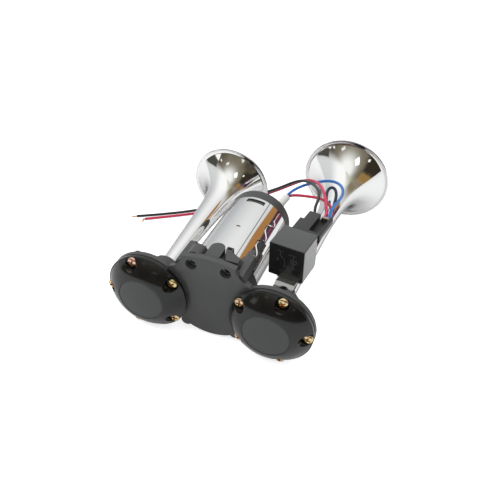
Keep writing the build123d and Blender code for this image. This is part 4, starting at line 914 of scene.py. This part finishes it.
class HORN_OT_relay_diagram(bpy.types.Operator):
    """Print a plain circuit of contact and coil on the relay's end face"""

    bl_idname = "horn.relay_diagram"
    bl_label = "Relay Diagram"

    stroke: length("Stroke", "Width of the printed lines", 0.0004)

    # lines in millimetres from the middle of the face: right and up
    contact = (((-6.6, 8.6), (-2.6, 8.6)), ((-4.6, 8.6), (-4.6, 5.2), (-1.0, 1.4), (-1.0, -3.4)),
               ((-2.4, -3.4), (0.6, -3.4)))
    coil = (((1.6, 7.6), (6.6, 7.6)), ((5.2, 7.6), (5.2, 4.0)),
            ((3.2, 4.0), (7.4, 4.0), (7.4, 1.4), (3.2, 1.4), (3.2, 4.0)), ((3.2, 1.4), (7.4, 4.0)),
            ((5.2, 1.4), (5.2, -3.4)), ((3.8, -3.4), (6.6, -3.4)))
    plus = (((-7.4, 1.0), (-5.6, 1.0)), ((-6.5, 1.9), (-6.5, 0.1)))
    rule = (((-4.8, -8.0), (-1.0, -8.0)), ((0.4, -8.0), (3.6, -8.0)))

    def face(self):
        """Middle of the relay's end face, and the ways to its right, up and out."""
        case = NODES["relay_case"]
        turn = case.matrix_world.to_3x3()
        ends = [face for face in case.data.polygons if (turn @ face.normal).y < -0.9]
        if not ends:
            raise RuntimeError("the relay has no end face")
        out = (turn @ max(ends, key=lambda face: face.area).normal).normalized()
        across = out.cross(Vector((0, 0, -1))).normalized()
        rise = out.cross(across).normalized()
        indices = {index for face in ends for index in face.vertices}
        corners = [case.matrix_world @ case.data.vertices[index].co for index in sorted(indices)]
        level, flat = max(corner.dot(out) for corner in corners), 0.0002
        spot = out * level
        for way in (across, rise):
            reaches = [corner.dot(way) for corner in corners if corner.dot(out) > level - flat]
            spot += way * (min(reaches) + max(reaches)) / 2
        return spot, across, rise, out

    def execute(self, context):
        spot, across, rise, out = self.face()
        sunk, proud = 0.0001, 0.00003
        vertices, faces = [], []
        for line in self.contact + self.coil + self.plus + self.rule:
            for start, end in zip(line, line[1:]):
                a, b = Vector(start) / 1000, Vector(end) / 1000
                along = (b - a).normalized() * self.stroke / 2
                side = Vector((-along.y, along.x))
                ring = (a - along - side, b + along - side, b + along + side, a - along + side)
                faces += bar_faces(2, len(ring), len(vertices))
                for height in (-sunk, proud):
                    vertices += [spot + across * point.x + rise * point.y + out * height for point in ring]
        piece = new_object("relay_print", mesh_from("relay_print", vertices, faces), "Relay Print")
        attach(piece, "horn")
        return {"FINISHED"}


class HORN_OT_leads(bpy.types.Operator):
    """Lay the free leads along their routes"""

    bl_idname = "horn.leads"
    bl_label = "Leads"

    def execute(self, context):
        for name, points in ROUTES.items():
            real_length, far_end, jacket, slot = LEADS[name]
            curve = bpy.data.curves.new(name + "_jacket", "CURVE")
            curve.dimensions = "3D"
            curve.bevel_depth = WIRE_D / 2
            curve.bevel_resolution = 5
            curve.resolution_u = 10
            curve.use_fill_caps = True
            curve.materials.append(finish(jacket))
            line = curve.splines.new("NURBS")
            line.points.add(len(points) - 1)
            for spot, point in zip(line.points, points):
                spot.co = (*point, 1.0)
            line.order_u = 3
            line.use_endpoint_u = True
            piece = link_object(name + "_jacket", curve)
            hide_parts(name)
            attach(piece, "horn")
        return {"FINISHED"}


class HORN_OT_stage(bpy.types.Operator):
    """Set the pale floor, the soft lights, the surroundings and the camera"""

    bl_idname = "horn.stage"
    bl_label = "Stage"

    def floor_finish(self):
        """Pale and matt with a plain glow for the eye, and a dimmer one in reflections."""
        tree, shader = start_material("Studio Floor", (0.80, 0.80, 0.80), 0.9, Specular_IOR_Level=0.1)
        ray = add_node(tree, "ShaderNodeLightPath", -600, 300).outputs
        direct = number(tree, "MAXIMUM", -400, 300, ray["Is Camera Ray"], ray["Is Glossy Ray"])
        seen = number(tree, "MAXIMUM", -200, 300, direct, ray["Is Transmission Ray"])
        strength = add_node(tree, "ShaderNodeMapRange", -400, 120, {
            "Value": ray["Is Glossy Ray"], "To Min": 0.70, "To Max": 0.14}).outputs["Result"]
        glow = add_node(tree, "ShaderNodeEmission", -200, 100, {"Strength": strength}).outputs[0]
        nothing = add_node(tree, "ShaderNodeEmission", -200, 0, {"Strength": 0.0}).outputs[0]
        chosen = mix_shaders(tree, seen, nothing, glow, 50, 150)
        total = add_node(tree, "ShaderNodeAddShader", 300, 50, {0: chosen, 1: shader.outputs[0]})
        feed(tree, tree.nodes["Material Output"].inputs["Surface"], total.outputs[0])

    def floor(self, reach=4.0, drop=0.0001):
        """A wide floor just under both head flanges and the long bell."""
        flange_y, bead = 0.0083, 0.001
        bell_low, bell_high = box_of("trumpet_right")
        heel_y, heel_z = START_Y + flange_y, box_of("horn_body")[0].z
        slope = (bell_low.z - heel_z) / (bell_high.y - bead - heel_y)
        corners = [(x, y, heel_z + slope * (y - heel_y) - drop) for x, y in
                   ((-reach, -reach), (reach, -reach), (reach, reach), (-reach, reach))]
        mesh = mesh_from("studio_floor", corners, [(0, 1, 2, 3)])
        if mesh.polygons[0].normal.z < 0:
            mesh.flip_normals()
        piece = new_object("studio_floor", mesh, "Studio Floor")

    def reflected_room(self, tree):
        """What bright metal sees: a pale room with a brown side, its windows and a board."""
        place = add_node(tree, "ShaderNodeTexCoord", -2800, 0).outputs["Generated"]
        way = add_node(tree, "ShaderNodeSeparateXYZ", -2600, 0, {0: place}).outputs
        turned = number(tree, "ARCTAN2", -2400, 200, way["X"], way["Y"])
        # degrees: round the room from 0 straight ahead over 90 at the right to 360, and up from the floor
        round_it = number(tree, "WRAP", -2000, 200,
                          number(tree, "MULTIPLY", -2200, 200, turned, 180 / math.pi), 360.0, 0.0)
        up = number(tree, "MULTIPLY", -2200, 0,
                    number(tree, "ARCSINE", -2400, 0, way["Z"]), 180 / math.pi)

        def patch(left, right, low, high, soft, x, y):
            """1 in the directions between left and right, low and high, with soft edges."""
            sides = number(tree, "MULTIPLY", x, y, ramp(tree, round_it, left - soft, left + soft, x - 400, y),
                           ramp(tree, round_it, right + soft, right - soft, x - 400, y - 60))
            levels = number(tree, "MULTIPLY", x, y - 60,
                            ramp(tree, up, low - soft, low + soft, x - 200, y - 120),
                            ramp(tree, up, high + soft, high - soft, x - 200, y - 180))
            return number(tree, "MULTIPLY", x + 150, y, sides, levels)

        # pale side and ceiling
        sky = blend(tree, ramp(tree, up, 24, 66, -1400, 700), (0.72, 0.735, 0.735), (1.06, 1.06, 1.06),
                    -1200, 700)

        # brown side, mottled and dark at the floor, pale at the ceiling and olive towards the front
        mottled = ramp(tree, noise(tree, place, 4.0, 3.0, -2400, -600), 0.35, 0.65, -2200, -600)
        wall = blend(tree, mottled, (0.060, 0.048, 0.034), (0.16, 0.135, 0.095), -1400, -500)
        wall = blend(tree, ramp(tree, up, 24, 50, -1400, -350), wall, (0.24, 0.215, 0.16), -1200, -500)
        wall = blend(tree, ramp(tree, up, 44, 76, -1200, -350), wall, (1.0, 1.0, 0.98), -1000, -500)
        wall = blend(tree, patch(106, 140, -6, 34, 5, -1000, -800), wall, (0.035, 0.028, 0.020), -800, -500)
        wall = blend(tree, patch(82, 103, -6, 34, 3, -1000, -1100), wall, (0.31, 0.19, 0.065), -600, -500)
        wall = blend(tree, ramp(tree, round_it, 92, 58, -600, -650), wall, (0.58, 0.56, 0.45), -500, -500)
        far = number(tree, "MULTIPLY", -400, 0, ramp(tree, round_it, 38, 74, -800, 100),
                     ramp(tree, round_it, 262, 236, -800, 0))
        above_floor = ramp(tree, up, -5, -2.5, -800, -100)
        room = blend(tree, number(tree, "MULTIPLY", -200, 0, far, above_floor), sky, wall, -100, 300)

        # near end of the wall: orange board over a dark purple one, with a crisp upper edge
        board = blend(tree, ramp(tree, up, 14.0, 16.5, -1000, 1000),
                      (0.13, 0.05, 0.085), (0.42, 0.205, 0.068), -800, 1000)
        room = blend(tree, patch(28, 46, -3.5, 31.5, 1.2, -700, 1200), room, board, 50, 300)

        # brown haze beside it, dark post, then windows and lamps: left, right, low, high, softness, colour
        things = [(56, 78, 3, 44, 9, (0.25, 0.205, 0.14)), (240, 254, 2, 27, 1.5, (0.075, 0.075, 0.065))]
        things += [(*edges, 1.0, (glow, glow, glow * 0.98)) for *edges, glow in (
            (224, 238, 15, 29, 1.05), (124, 150, 51, 61, 1.5), (206, 219, 46, 50.5, 0.85),
            (129, 134, 29, 33, 1.2), (166, 176, 33, 37, 0.9), (229, 233, 32, 36, 0.9))]
        for index, (*edges, tone) in enumerate(things):
            room = blend(tree, patch(*edges, -700, 1500 + 300 * index), room, tone, 200 + 150 * index, 300)

        # thin dark joint in the ceiling, and a cool cloud at the left
        level = add_node(tree, "ShaderNodeVectorMath", -600, -1500, {0: place, 1: (-0.8829, 0.0, 0.4696)},
                         operation="DOT_PRODUCT").outputs["Value"]
        thin = ramp(tree, number(tree, "ABSOLUTE", -400, -1500, level), 0.026, 0.012, -300, -1500)
        joint = number(tree, "MULTIPLY", 0, 0, patch(14, 32, 29, 40, 1.0, -300, -1700),
                       number(tree, "MULTIPLY", -200, -1500, thin, 0.8))
        room = blend(tree, joint, room, (0.10, 0.11, 0.12), 1500, 300)
        cloud = number(tree, "MULTIPLY", 0, -100, patch(306, 331, 2, 20, 6, -300, -2000), 0.25)
        return blend(tree, cloud, room, (0.45, 0.49, 0.58), 1650, 300)

    def surroundings(self, context):
        """White for the eye, plain soft light for the pieces, and the reflected room for bright metal."""
        world = bpy.data.worlds.new("Studio")
        context.scene.world = world
        world.use_nodes = True
        tree = world.node_tree
        tree.nodes.clear()
        ray = add_node(tree, "ShaderNodeLightPath", 1500, 900).outputs
        white = add_node(tree, "ShaderNodeBackground", 1800, 700, {"Color": (1, 1, 1)}).outputs[0]
        room = add_node(tree, "ShaderNodeBackground", 1800, 500, {
            "Color": self.reflected_room(tree)}).outputs[0]
        light = add_node(tree, "ShaderNodeBackground", 1800, 300, {
            "Color": (0.97, 0.985, 1.0), "Strength": 0.70}).outputs[0]
        lit = mix_shaders(tree, ray["Is Glossy Ray"], light, room, 2000, 400)
        clear = number(tree, "MAXIMUM", 1800, 900, ray["Is Camera Ray"], ray["Is Transmission Ray"])
        shown = mix_shaders(tree, clear, lit, white, 2200, 500)
        add_node(tree, "ShaderNodeOutputWorld", 2400, 500, {"Surface": shown})

    def lamp(self, name, place, size, watts, aim=(0, 0, 0.03)):
        """A soft square lamp aimed at the horn."""
        data = bpy.data.lights.new(name, "AREA")
        data.shape = "SQUARE"
        data.size = size
        data.energy = watts
        lamp = link_object(name, data)
        lamp.location = place
        lamp.visible_glossy = False
        lamp.rotation_euler = (Vector(aim) - lamp.location).to_track_quat("-Z", "Y").to_euler()

    def camera(self, context):
        """A plain camera at its place."""
        data = bpy.data.cameras.new("Main Camera")
        data.lens = EYE_LENS
        data.sensor_width = 36.0
        data.clip_start, data.clip_end = 0.01, 30.0
        up = EYE_RIGHT.cross(EYE_FORWARD).normalized()
        right = EYE_FORWARD.cross(up).normalized()
        camera = link_object("Main Camera", data)
        turn = Matrix((right, up, -EYE_FORWARD)).transposed()
        camera.matrix_world = Matrix.Translation(EYE) @ turn.to_4x4()
        context.scene.camera = camera

    def execute(self, context):
        self.floor_finish()
        self.floor()
        self.surroundings(context)
        self.lamp("Key Softbox", (-0.7, -0.5, 1.3), 0.9, 9.0)
        self.lamp("Back Softbox", (0.3, 1.1, 1.1), 0.8, 5.0)
        self.camera(context)
        context.scene.view_settings.view_transform = "Standard"
        return {"FINISHED"}


class HORN_PT_pieces(bpy.types.Panel):
    """Sizes, colours and the pieces to make"""

    bl_idname = "HORN_PT_pieces"
    bl_label = "Air Horn"
    bl_space_type = "VIEW_3D"
    bl_region_type = "UI"
    bl_category = "Air Horn"

    def draw(self, context):
        for settings in (context.scene.horn_sizes, context.scene.horn_colours):
            box = self.layout.box()
            for key in settings.__annotations__:
                box.prop(settings, key)
        for operator in PIECES:
            self.layout.operator(operator.bl_idname)


PIECES = (
    HORN_OT_finishes,
    HORN_OT_trumpets,
    HORN_OT_motor_tube,
    HORN_OT_covers,
    HORN_OT_cover_screws,
    HORN_OT_mouldings,
    HORN_OT_relay_diagram,
    HORN_OT_leads,
    HORN_OT_stage,
)
CLASSES = (HornSizes, HornColours, *PIECES, HORN_PT_pieces)


def register():
    for kind in CLASSES:
        bpy.utils.register_class(kind)
    bpy.types.Scene.horn_sizes = PointerProperty(type=HornSizes)
    bpy.types.Scene.horn_colours = PointerProperty(type=HornColours)


def unregister():
    del bpy.types.Scene.horn_colours
    del bpy.types.Scene.horn_sizes
    for kind in reversed(CLASSES):
        bpy.utils.unregister_class(kind)


def main():
    """Makes every piece."""
    register()
    for operator in PIECES:
        group, name = operator.bl_idname.split(".")
        getattr(getattr(bpy.ops, group), name)()


if __name__ == "__main__":
    main()
